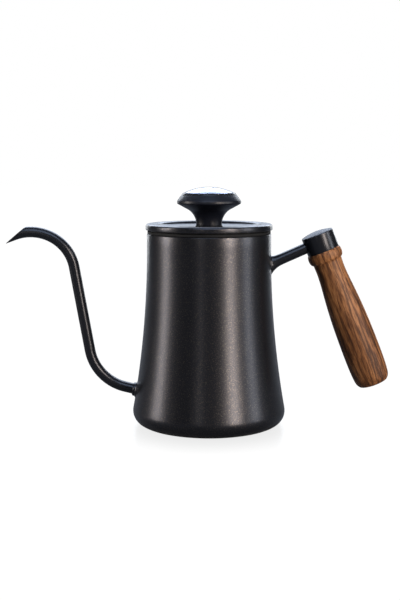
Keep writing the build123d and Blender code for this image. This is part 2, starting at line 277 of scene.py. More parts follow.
@dataclass(frozen=True)
class GlossCoat(Finish):
    """Glossy blue-black coating of the spout, arm and cap."""

    name: str = "gloss_black_coat"
    colour: Colour = (0.010, 0.011, 0.014)

    def build(self, recipe: Recipe) -> Signal:
        """Smooth black with faint clouding and waviness."""
        place = recipe.place()
        wave = recipe.noise(place, 120.0, 0.0)
        smear = recipe.noise(place, 40.0, 4.0)
        return recipe.principled({
            "Base Color": recipe.blend(smear * 0.4, self.colour, (0.020, 0.021, 0.025)),
            "Metallic": 0.55,
            "Roughness": 0.27 + 0.05 * smear,
            "Specular IOR Level": 0.4,
            "Coat Weight": 0.10,
            "Coat Roughness": 0.20,
            "Normal": recipe.bump(wave, 0.02, 0.00002),
        })


@dataclass(frozen=True)
class TurnedFace(AxialFinish):
    """Dull blue-black face with the fine rings of a lathe tool."""

    name: str = "turned_black_face"

    def build(self, recipe: Recipe) -> Signal:
        """Rings round the face's own axis over a cloudy ground."""
        rings = recipe.rings(self.along(recipe), {"Scale": 330.0, "Distortion": 0.6, "Detail": 1.0})
        cloud = recipe.noise(recipe.place(), 150.0, 3.0)
        return recipe.principled({
            "Base Color": recipe.blend(cloud * 0.5, (0.014, 0.016, 0.024), (0.024, 0.027, 0.038)),
            "Roughness": 0.44 + 0.06 * cloud,
            "Specular IOR Level": 0.22,
            "Normal": recipe.bump(rings, 0.35, 0.00008),
        })


@dataclass(frozen=True)
class BareSteel(Finish):
    """Stainless steel, brushed round the axis."""

    name: str = "bare_steel"
    colour: Colour = (0.56, 0.56, 0.55)
    roughness: float = 0.28

    def build(self, recipe: Recipe) -> Signal:
        """Fine rings of brushing with faint water marks."""
        rings = recipe.noise(recipe.mapped(scale=(6.0, 6.0, 900.0)), 4.0, 4.0, 0.7)
        marks = recipe.noise(recipe.place(), 60.0, 4.0)
        return recipe.principled({
            "Base Color": recipe.blend(marks * 0.4, self.colour, grey(0.42)),
            "Metallic": 1.0,
            "Roughness": self.roughness + 0.14 * rings,
            "Normal": recipe.bump(rings, 0.12, 0.00004),
        })


@dataclass(frozen=True)
class Walnut(AxialFinish):
    """Oiled walnut with its grain along the grip."""

    name: str = "oiled_walnut"

    def build(self, recipe: Recipe) -> Signal:
        """Wavering growth rings, dark streaks, short pores and an oily sheen."""
        along = self.along(recipe)
        fibre = recipe.mapped(scale=(1.0, 1.0, 0.09), vector=along)
        board = recipe.mapped(location=(0.021, 0.016, 0.0), scale=(1.0, 1.0, 0.16), vector=along)
        rings = recipe.rings(board, {"Scale": 95.0, "Distortion": 9.0, "Detail": 4.0, "Detail Scale": 2.2,
                                     "Detail Roughness": 0.65})
        streak = recipe.noise(fibre, 760.0, 4.0, 0.65, 0.5)
        broad = recipe.noise(fibre, 110.0, 3.0, 0.55, 0.8)
        tone = (0.20 * rings + 0.62 * streak + 0.62 * broad - 0.30).clipped()
        colour = recipe.ramp(tone, (
            (0.20, (0.034, 0.012, 0.004)),
            (0.38, (0.115, 0.043, 0.0135)),
            (0.54, (0.245, 0.100, 0.033)),
            (0.78, (0.410, 0.192, 0.078)),
        ))
        pore_lines = recipe.noise(recipe.mapped(scale=(1.0, 1.0, 0.045), vector=along), 1500.0, 2.0, 0.6)
        pores = recipe.step(pore_lines, 0.58, 0.70)
        return recipe.principled({
            "Base Color": recipe.blend(pores * 0.55, colour, (0.020, 0.008, 0.004)),
            "Roughness": 0.44 + 0.14 * streak + 0.10 * pores,
            "Specular IOR Level": 0.22,
            "Normal": recipe.bump(streak * 0.35 - pores * 0.8, 0.35, 0.00012),
        })


@dataclass(frozen=True)
class Silicone(Finish):
    """Black food-grade silicone."""

    name: str = "black_silicone"

    def build(self, recipe: Recipe) -> Signal:
        """Soft black with a dusting of light wear."""
        place = recipe.place()
        dust = recipe.noise(place, 220.0, 4.0)
        return recipe.principled({
            "Base Color": recipe.blend(dust * 0.35, grey(0.004), grey(0.012)),
            "Roughness": 0.62 + 0.15 * dust,
            "Specular IOR Level": 0.20,
            "Normal": recipe.bump(recipe.noise(place, 1200.0, 2.0), 0.1, 0.00004),
        })


@dataclass(frozen=True)
class BlackMoulding(Finish):
    """Matte black heat-resistant moulding of the knob."""

    name: str = "knob_moulding"
    roughness: float = 0.34
    colour: Colour = (0.003, 0.004, 0.008)

    def build(self, recipe: Recipe) -> Signal:
        """Deep black with a fine spark-eroded texture."""
        place = recipe.place()
        grain = recipe.noise(place, 2200.0, 2.0)
        handling = recipe.noise(place, 70.0, 4.0)
        return recipe.principled({
            "Base Color": recipe.blend(handling * 0.3, self.colour, grey(0.008)),
            "Roughness": self.roughness + 0.08 * handling,
            "Specular IOR Level": 0.30,
            "Normal": recipe.bump(grain, 0.12, 0.00004),
        })


@dataclass(frozen=True)
class DialMetal(Finish):
    """Silvery dial with fine straight brushing."""

    name: str = "dial_metal"

    def build(self, recipe: Recipe) -> Signal:
        """Pale aluminium, slightly clouded."""
        brush = recipe.noise(recipe.mapped(scale=(40.0, 900.0, 40.0)), 6.0, 4.0, 0.7)
        cloud = recipe.noise(recipe.place(), 90.0, 2.0)
        return recipe.principled({
            "Base Color": recipe.blend(cloud * 0.35, (0.92, 0.91, 0.93), (0.80, 0.80, 0.84)),
            "Metallic": 0.35,
            "Roughness": 0.36 + 0.12 * brush,
            "Normal": recipe.bump(brush, 0.06, 0.00003),
        })


@dataclass(frozen=True)
class Ink(Finish):
    """Screen-printed ink on the dial."""

    name: str = "ink"
    colour: Colour = (0.0, 0.0, 0.0)

    def build(self, recipe: Recipe) -> Signal:
        """Even ink with slight mottling."""
        mottle = recipe.noise(recipe.place(), 1500.0, 2.0)
        light = tuple(min(1.0, 1.25 * part + 0.01) for part in self.colour)
        return recipe.principled({
            "Base Color": recipe.blend(mottle * 0.5, self.colour, light),
            "Roughness": 0.42 + 0.1 * mottle,
            "Specular IOR Level": 0.4,
        })


@dataclass(frozen=True)
class Enamel(Finish):
    """Glossy red enamel of the pointer."""

    name: str = "pointer_enamel"

    def build(self, recipe: Recipe) -> Signal:
        """Even red with a slight mottle."""
        mottle = recipe.noise(recipe.place(), 900.0, 2.0)
        return recipe.principled({
            "Base Color": recipe.blend(mottle * 0.4, (0.52, 0.006, 0.006), (0.36, 0.004, 0.004)),
            "Roughness": 0.28 + 0.08 * mottle,
            "Coat Weight": 0.3,
        })


@dataclass(frozen=True)
class Window(Finish):
    """Clear domed window: see-through face on, mirror-like at a glancing angle."""

    name: str = "clear_window"

    def build(self, recipe: Recipe) -> Signal:
        """A clear layer under a glossy one, shared out by how squarely the surface is seen."""
        clear = recipe.node("ShaderNodeBsdfTransparent", {}, {"Color": (0.90, 0.93, 0.985)}, "BSDF")
        haze = recipe.noise(recipe.place(), 120.0, 3.0)
        gloss = recipe.principled({
            "Base Color": (0.72, 0.76, 0.92),
            "Roughness": 0.04 + 0.03 * haze,
            "Metallic": 1.0,
        })
        facing = recipe.node("ShaderNodeLayerWeight", {}, {"Blend": 0.5}, "Facing")
        return recipe.mixed(0.04 + 0.96 * facing ** 5.0, clear, gloss)


@dataclass(frozen=True)
class PinMetal(Finish):
    """Polished pin at the dial's centre."""

    name: str = "pin_metal"
    colour: Colour = (0.72, 0.72, 0.70)

    def build(self, recipe: Recipe) -> Signal:
        """Bright metal with fine turning marks."""
        marks = recipe.noise(recipe.place(), 700.0, 3.0)
        return recipe.principled({
            "Base Color": self.colour,
            "Metallic": 1.0,
            "Roughness": 0.16 + 0.12 * marks,
        })


@dataclass(frozen=True)
class PaleFloor(Finish):
    """Pale table that mirrors softly."""

    name: str = "pale_floor"

    def build(self, recipe: Recipe) -> Signal:
        """White sheet with a faint short reflection; it throws little light back on the kettle."""
        grain = recipe.noise(recipe.place(), 30.0, 2.0)
        glow = recipe.node("ShaderNodeEmission", {}, {"Color": grey(1.0), "Strength": 1.04}, "Emission")
        sheen = recipe.node("ShaderNodeBsdfGlossy", {}, {
            "Color": grey(1.0), "Roughness": 0.20 + 0.03 * grain,
        }, "BSDF")
        away = recipe.node("ShaderNodeVectorMath", {"operation": "LENGTH"}, {0: recipe.place()}, "Value")
        near = 1.0 - recipe.step(away, 0.036, 0.090)
        seen = recipe.mixed(0.22 * near, glow, sheen)
        quiet = recipe.node("ShaderNodeBsdfDiffuse", {}, {"Color": grey(0.15)}, "BSDF")
        eye = recipe.node("ShaderNodeLightPath", output="Is Camera Ray")
        return recipe.mixed(eye, quiet, seen)


COAT = FleckCoat()
GLOSS = GlossCoat()
STEEL = BareSteel()
RUBBER = Silicone()
MOULDING = BlackMoulding()
RED_INK = Ink("red_ink", (0.42, 0.025, 0.035))
BLACK_INK = Ink("black_ink", (0.012, 0.012, 0.014))
GREY_INK = Ink("grey_ink", (0.20, 0.17, 0.15))
WHITE_INK = Ink("white_ink", (0.90, 0.90, 0.90))
PINK_INK = Ink("pink_ink", (0.72, 0.42, 0.44))
PALE_GREY_INK = Ink("pale_grey_ink", (0.52, 0.48, 0.45))
AMBER_INK = Ink("amber_ink", (0.68, 0.27, 0.012))
ORANGE_INK = Ink("orange_ink", (0.74, 0.15, 0.010))


# --------------------------------------------------------------------------------------------------
# Mesh work
# --------------------------------------------------------------------------------------------------
@dataclass(frozen=True)
class Corner:
    """One corner of a turned outline, in millimetres, with the radius that rounds it."""

    r: float
    z: float
    round: float = 0.0
    steps: int = 5


def smooth_outline(points: Sequence[tuple[float, float]], per_span: int = 8) -> list[Corner]:
    """Corners along a smooth curve through a few points.

    Args:
        points: (radius, height) pairs that the curve passes through.
        per_span: corners for each stretch between two points.

    Returns:
        The corners, both ends included.
    """
    found = [Vector(points[0])]
    padded = [2 * Vector(points[0]) - Vector(points[1])] + [Vector(p) for p in points]
    padded.append(2 * Vector(points[-1]) - Vector(points[-2]))
    for before, start, end, after in zip(padded, padded[1:], padded[2:], padded[3:]):
        span = (end - start).length
        lead = (end - before) * span / ((start - before).length + span)
        trail = (after - start) * span / ((after - end).length + span)
        for number in range(1, per_span + 1):
            t = number / per_span
            found.append(
                (2 * t ** 3 - 3 * t ** 2 + 1) * start + (t ** 3 - 2 * t ** 2 + t) * lead
                + (3 * t ** 2 - 2 * t ** 3) * end + (t ** 3 - t ** 2) * trail
            )
    return [Corner(point.x, point.y) for point in found]


def dome_outline(foot_r: float, foot_z: float, apex_z: float, steps: int = 10) -> list[Corner]:
    """Corners of a shallow dome from its foot in to its apex on the axis."""
    rise = apex_z - foot_z
    radius = (foot_r ** 2 + rise ** 2) / (2 * rise)
    centre_z = apex_z - radius
    widest = math.asin(foot_r / abs(radius))
    corners = []
    for number in range(steps, -1, -1):
        angle = widest * number / steps
        corners.append(Corner(abs(radius) * math.sin(angle), centre_z + radius * math.cos(angle)))
    return corners


def upright(point: Sequence[float]) -> Vector:
    """A point of the XZ plane."""
    return Vector((point[0], 0.0, point[1]))


def edges_of(verts: Iterable[bmesh.types.BMVert]) -> list[bmesh.types.BMEdge]:
    """Every edge that touches the given points."""
    return list({edge for vert in verts for edge in vert.link_edges})


def hang(name: str, data: bpy.types.ID) -> bpy.types.Object:
    """Put a new object into the scene."""
    made = bpy.data.objects.new(name, data)
    bpy.context.scene.collection.objects.link(made)
    return made


class Workpiece:
    """A bmesh in millimetres on its way to becoming a piece."""

    def __init__(self) -> None:
        """Start empty."""
        self.bm = bmesh.new()

    def wire(self, corners: Sequence[Corner], closed: bool) -> "Workpiece":
        """Draw an outline in the XZ plane and round its corners.

        Args:
            corners: the outline, as radius and height.
            closed: whether the last corner joins the first.

        Returns:
            The workpiece.
        """
        verts = [self.bm.verts.new((corner.r, 0.0, corner.z)) for corner in corners]
        after = verts[1:] + verts[:1]
        for number, vert in enumerate(verts[:len(verts) if closed else -1]):
            self.bm.edges.new((vert, after[number]))
        places = [Vector((corner.r, corner.z)) for corner in corners]
        for number, corner in enumerate(corners):
            if not corner.round:
                continue
            arrive = places[number] - places[number - 1]
            leave = places[(number + 1) % len(places)] - places[number]
            tangent = corner.round * math.tan(arrive.angle(leave) / 2)
            bmesh.ops.bevel(self.bm, geom=[verts[number]], offset=tangent, offset_type="OFFSET",
                            segments=corner.steps, profile=0.5, affect="VERTICES", material=-1)
        return self

    def spin(self, steps: int = 96) -> "Workpiece":
        """Turn everything drawn so far once round Z."""
        bmesh.ops.spin(self.bm, geom=self.bm.verts[:] + self.bm.edges[:], cent=(0, 0, 0), axis=UP,
                       angle=FULL_TURN, steps=steps, use_merge=True, use_duplicate=False)
        bmesh.ops.remove_doubles(self.bm, verts=self.bm.verts, dist=1e-4)
        bmesh.ops.dissolve_degenerate(self.bm, edges=self.bm.edges, dist=1e-5)
        bmesh.ops.recalc_face_normals(self.bm, faces=self.bm.faces)
        return self

    def circle(self, place: Matrix, segments: int = 48) -> list[bmesh.types.BMEdge]:
        """Draw a circle of radius 1 on a plane.

        Args:
            place: where the circle goes; its scale sets the radii.
            segments: how many edges.

        Returns:
            The circle's edges.
        """
        made = bmesh.ops.create_circle(self.bm, cap_ends=False, segments=segments, radius=1.0, matrix=place)
        return edges_of(made["verts"])

    def loft(self, places: Sequence[Matrix], segments: int = 48) -> "Workpiece":
        """Skin a row of circles, one after another."""
        loops = [self.circle(place, segments) for place in places]
        for first, second in zip(loops, loops[1:]):
            bmesh.ops.bridge_loops(self.bm, edges=first + second)
        bmesh.ops.recalc_face_normals(self.bm, faces=self.bm.faces)
        return self

    def coil(self, turns: float, climb: float, steps: int) -> "Workpiece":
        """Sweep a closed loop up a helix round Z and close its ends.

        Args:
            turns: how often it goes round.
            climb: how far it rises in all.
            steps: how many stretches it is made of.

        Returns:
            The workpiece.
        """
        bmesh.ops.spin(self.bm, geom=self.bm.verts[:] + self.bm.edges[:], cent=(0, 0, 0), axis=UP,
                       dvec=UP * (climb / steps), angle=FULL_TURN * turns, steps=steps, use_duplicate=False)
        bmesh.ops.holes_fill(self.bm, edges=self.bm.edges, sides=0)
        bmesh.ops.recalc_face_normals(self.bm, faces=self.bm.faces)
        return self

    def raised(self, height: float) -> "Workpiece":
        """Thicken flat faces upward into a solid."""
        made = bmesh.ops.extrude_face_region(self.bm, geom=self.bm.faces[:])["geom"]
        lifted = [item for item in made if isinstance(item, bmesh.types.BMVert)]
        bmesh.ops.translate(self.bm, verts=lifted, vec=UP * height)
        bmesh.ops.recalc_face_normals(self.bm, faces=self.bm.faces)
        return self

    def bevel_edges(self, chosen: Callable[[bmesh.types.BMEdge], bool], width: float,
                    segments: int = 3) -> "Workpiece":
        """Round the edges that pass a test."""
        edges = [edge for edge in self.bm.edges if chosen(edge)]
        bmesh.ops.bevel(self.bm, geom=edges, offset=width, offset_type="OFFSET", segments=segments,
                        profile=0.5, affect="EDGES", material=-1)
        return self

    def paint(self, index: int, chosen: Callable[[Vector], bool]) -> "Workpiece":
        """Give the faces whose centre passes a test another of the piece's finishes."""
        for face in self.bm.faces:
            if chosen(face.calc_center_median()):
                face.material_index = index
        return self

    def moved(self, place: Matrix) -> "Workpiece":
        """Place everything drawn so far."""
        bmesh.ops.transform(self.bm, matrix=place, verts=self.bm.verts)
        return self

    def mesh(self, name: str, unit: float = MM) -> bpy.types.Mesh:
        """Hand over the shape as a mesh, in metres unless told otherwise."""
        bmesh.ops.scale(self.bm, vec=(unit, unit, unit), verts=self.bm.verts)
        mesh = bpy.data.meshes.new(name)
        self.bm.to_mesh(mesh)
        self.bm.free()
        return mesh

    def add(self, other: "Workpiece") -> "Workpiece":
        """Take in another workpiece."""
        spare = other.mesh("spare", 1.0)
        self.bm.from_mesh(spare)
        bpy.data.meshes.remove(spare)
        return self

    def piece(self, name: str, body: Body, slot: str, nodes: Iterable[str], finishes: Sequence[Finish],
              sharp: float = 32.0) -> bpy.types.Object:
        """Turn the workpiece into a finished piece of the kettle.

        Args:
            name: the piece's name.
            body: the rigid group it moves with.
            slot: the record's material slot; not used.
            nodes: the CAD nodes it stands for.
            finishes: its finishes, the first one for every face not painted otherwise.
            sharp: edges that turn by more than this many degrees stay crisp.

        Returns:
            The new object.
        """
        mesh = self.mesh(name)
        mesh.shade_smooth()
        mesh.set_sharp_from_angle(angle=math.radians(sharp))
        for finish in finishes:
            mesh.materials.append(finish.material())
        made = hang(name, mesh)
        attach(made, body.value)
        if nodes:
            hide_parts(*nodes)
        LOG.info("%s rides on %s", name, body.value)
        return made

    def steel(self, name: str, body: Body, node: str) -> bpy.types.Object:
        """Turn the workpiece into a piece of bare steel."""
        return self.piece(name, body, "steel", [node], [STEEL])


def turned(corners: Sequence[Corner], steps: int = 96, closed: bool = True) -> Workpiece:
    """A workpiece turned about Z from one outline."""
    return Workpiece().wire(corners, closed).spin(steps)


def ring(outer_r: float, inner_r: float, low: float, high: float, edge: float = 0.0,
         steps: int = 96) -> Workpiece:
    """A turned ring with rounded edges."""
    return turned([
        Corner(inner_r, low, edge, 3), Corner(outer_r, low, edge, 3),
        Corner(outer_r, high, edge, 3), Corner(inner_r, high, edge, 3),
    ], steps)


def rod(radius: float, low: float, high: float, edge: float = 0.0, steps: int = 32) -> Workpiece:
    """A solid round bar on Z with a rounded upper edge."""
    return turned([
        Corner(0.0, low), Corner(radius, low), Corner(radius, high, edge, 3), Corner(0.0, high),
    ], steps, closed=False)


def carve(target: bpy.types.Object, tool: Workpiece) -> None:
    """Cut a hole through a piece.

    Args:
        target: the piece, already made.
        tool: closed shape of the hole, in millimetres.
    """
    cutter = hang("cutter", tool.mesh("cutter"))
    cut = target.modifiers.new("cut", "BOOLEAN")
    cut.object = cutter
    cut.operation = "DIFFERENCE"
    cut.solver = "EXACT"
    graph = bpy.context.evaluated_depsgraph_get()
    result = bpy.data.meshes.new_from_object(target.evaluated_get(graph))
    target.modifiers.remove(cut)
    target.data = result
    bpy.data.objects.remove(cutter)


def frame_span(node: str) -> tuple[Vector, Vector]:
    """Lowest and highest corner of a CAD node, in millimetres."""
    low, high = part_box(node)
    return low / MM, high / MM


# --------------------------------------------------------------------------------------------------
# Pot: shell and base
# --------------------------------------------------------------------------------------------------
@dataclass
class Pot:
    """The spun shell with its welded base."""

    wall: float = 0.8
    neck_r: float = 39.15
    shoulder_z: float = 115.0
    flank_arc: float = 589.0
    flank_foot: float = 14.0
    corner_r: float = 9.0
    base_r: float = 36.0
    rim_z: float = field(default_factory=lambda: frame_span("body_shell")[1].z)

    def flank(self, height: float) -> float:
        """Outside radius at a height."""
        drop = max(0.0, self.shoulder_z - height)
        return self.neck_r + self.flank_arc - math.sqrt(self.flank_arc ** 2 - drop ** 2)

    def shell(self) -> bpy.types.Object:
        """Shell in one turning: outside up to the rim, then back down inside."""
        rows = 14
        rise = self.shoulder_z - self.flank_foot
        heights = [self.flank_foot + rise * number / rows for number in range(rows + 1)]
        outside = [Corner(self.base_r, 0.0), Corner(self.flank(0.0), 0.0, self.corner_r, 14)]
        outside += [Corner(self.flank(z), z) for z in heights]
        lip = 0.33
        rim = [Corner(self.neck_r, self.rim_z, lip, 4), Corner(self.neck_r - self.wall, self.rim_z, lip, 4)]
        inside = [Corner(self.flank(z) - self.wall, z) for z in reversed(heights)]
        inner_corner = Corner(self.flank(0.0) - self.wall, self.wall, self.corner_r - self.wall, 14)
        inside += [inner_corner, Corner(self.base_r, self.wall)]
        work = turned(outside + rim + inside, 160)
        work.paint(1, lambda c: self.wall * 0.9 < c.z < self.rim_z - 1.0 and self.is_inside(c))
        return work.piece("pot_shell", Body.KETTLE, "body_coating", ["body_shell"], [COAT, STEEL])

    def is_inside(self, centre: Vector) -> bool:
        """Whether a face centre lies on the inner side of the sheet."""
        reach = math.hypot(centre.x, centre.y)
        corner_z = self.corner_r
        if centre.z >= corner_z + 1.5:
            return reach < self.flank(centre.z) - self.wall / 2
        middle = Vector((self.flank(corner_z) - self.corner_r, corner_z))
        out = Vector((reach, centre.z)) - middle
        if out.x < 0:
            return centre.z > self.wall / 2
        return out.length < self.corner_r - self.wall / 2

    def base(self) -> bpy.types.Object:
        """Base disc with two shallow pressed rings in its underside."""
        underside = [Corner(0.0, 0.0)]
        for radius in (24.0, 31.0):
            underside += [
                Corner(radius - 1.2, 0.0, 0.3, 2), Corner(radius - 0.7, 0.3, 0.3, 2),
                Corner(radius + 0.7, 0.3, 0.3, 2), Corner(radius + 1.2, 0.0, 0.3, 2),
            ]
        underside += [Corner(self.base_r, 0.0), Corner(self.base_r, self.wall), Corner(0.0, self.wall)]
        work = turned(underside, 128, closed=False)
        work.paint(1, lambda c: c.z > self.wall * 0.9)
        return work.piece("pot_base", Body.KETTLE, "body_coating", ["base_plate"], [COAT, STEEL])

    def make(self) -> bpy.types.Object:
        """Build the whole pot and return its shell."""
        self.base()
        return self.shell()


# --------------------------------------------------------------------------------------------------
# Spout
# --------------------------------------------------------------------------------------------------
@dataclass(frozen=True)
class Bend:
    """An arc of the spout: radius in millimetres and turn in degrees, positive to the left."""

    radius: float
    turn: float
    steps: int


@dataclass
class Spout:
    """The gooseneck tube, its weld ring and the hole behind it."""

    pot: Pot
    outer_r: float = 3.42
    wall: float = 0.8
    start: tuple[float, float] = (-46.15, 21.54)
    heading: float = 166.4
    root_run: float = 7.78
    root_bend: Bend = Bend(29.8, -66.5, 22)
    neck_run: float = 54.1
    crest: tuple[Bend, Bend] = (Bend(26.6, 57.0, 20), Bend(29.3, 43.0, 16))
    nose_run: float = 12.0
    lip_top: tuple[float, float] = (-116.0, 125.8)
    lip_point: tuple[float, float] = (-126.93, 116.6)
    weld_r: float = 4.35
    weld_height: float = 2.6
    halfway_x: float = -80.0      # between the root and the lip

    def ahead(self, heading: float) -> Vector:
        """Unit vector in the XZ plane."""
        angle = math.radians(heading)
        return Vector((math.cos(angle), 0.0, math.sin(angle)))

    def at_root(self) -> Matrix:
        """Place of the tube's root; Z runs along the tube."""
        face_on = self.ahead(self.heading).to_track_quat("Z", "Y").to_matrix().to_4x4()
        return Matrix.Translation(upright(self.start)) @ face_on

    def bore(self, radius: float) -> Workpiece:
        """One skin of the tube, by extruding and spinning a circle along the route."""
        work = Workpiece()
        loop: list[Any] = work.circle(self.at_root() @ Matrix.Scale(radius, 4), 40)
        loop += list({vert for edge in loop for vert in edge.verts})
        point = upright(self.start)
        heading = self.heading
        steps: list[Any] = [self.root_run, self.root_bend, self.neck_run, *self.crest, self.nose_run]
        for step in steps:
            if isinstance(step, Bend):
                side = math.copysign(1.0, step.turn)
                centre = point + step.radius * self.ahead(heading + 90.0 * side)
                turn = Matrix.Rotation(math.radians(-step.turn), 4, "Y")
                made = bmesh.ops.spin(work.bm, geom=loop, cent=centre, axis=(0.0, 1.0, 0.0), steps=step.steps,
                                      angle=math.radians(-step.turn), use_merge=False, use_duplicate=False)
                loop = made["geom_last"]
                point = centre + turn @ (point - centre)
                heading += step.turn
            else:
                edges = [item for item in loop if isinstance(item, bmesh.types.BMEdge)]
                made = bmesh.ops.extrude_edge_only(work.bm, edges=edges)["geom"]
                verts = [item for item in made if isinstance(item, bmesh.types.BMVert)]
                bmesh.ops.translate(work.bm, verts=verts, vec=self.ahead(heading) * step)
                point = point + self.ahead(heading) * step
                loop = [item for item in made if not isinstance(item, bmesh.types.BMFace)]
        top = upright(self.lip_top)
        slant = upright(self.lip_point) - top
        outward = Vector((slant.z, 0.0, -slant.x)).normalized()
        bmesh.ops.bisect_plane(work.bm, geom=work.bm.verts[:] + work.bm.edges[:] + work.bm.faces[:], dist=1e-4,
                               plane_co=top, plane_no=outward, clear_outer=True)
        return work

    def tube(self) -> bpy.types.Object:
        """Both skins joined at the root and at the pouring lip."""
        work = self.bore(self.outer_r).add(self.bore(self.outer_r - self.wall))
        open_edges = [edge for edge in work.bm.edges if edge.is_boundary]
        lip = [edge for edge in open_edges if edge.verts[0].co.x < self.halfway_x]
        root = [edge for edge in open_edges if edge.verts[0].co.x > self.halfway_x]
        for loops in (lip, root):
            bmesh.ops.triangle_fill(work.bm, use_beauty=True, use_dissolve=False, edges=loops)
        bmesh.ops.recalc_face_normals(work.bm, faces=work.bm.faces)
        lip_edges = {edge for edge in lip if edge.is_valid}
        work.bevel_edges(lambda edge: edge in lip_edges, 0.16, 2)
        return work.piece("spout_tube_skin", Body.KETTLE, "gloss_coating", ["spout_tube"], [GLOSS], 40.0)

    def weld(self) -> bpy.types.Object:
        """Rounded ring on the wall, square to it."""
        height = self.start[1]
        lean = math.asin((self.pot.shoulder_z - height) / self.pot.flank_arc)
        work = turned([
            Corner(self.outer_r - 0.1, -0.5), Corner(self.weld_r + 0.9, -0.5),
            Corner(self.weld_r + 0.75, 0.15, 0.2, 3), Corner(self.weld_r, 0.75, 0.7, 5),
            Corner(self.weld_r, self.weld_height, 1.1, 6),
            Corner(self.outer_r - 0.1, self.weld_height - 0.25),
        ], 72)
        foot = Matrix.Translation((-self.pot.flank(height), 0.0, height))
        work.moved(foot @ Matrix.Rotation(-math.pi / 2 + lean, 4, "Y"))
        return work.piece("spout_weld_ring", Body.KETTLE, "gloss_coating", ["spout_collar"], [GLOSS], 50.0)

    def make(self, shell: bpy.types.Object) -> None:
        """Build the spout and open the pot's wall behind it."""
        self.tube()
        self.weld()
        reach, overlap = 6.0, 0.3
        hole = rod(self.outer_r - self.wall, -reach, overlap, steps=40)
        carve(shell, hole.moved(self.at_root()))


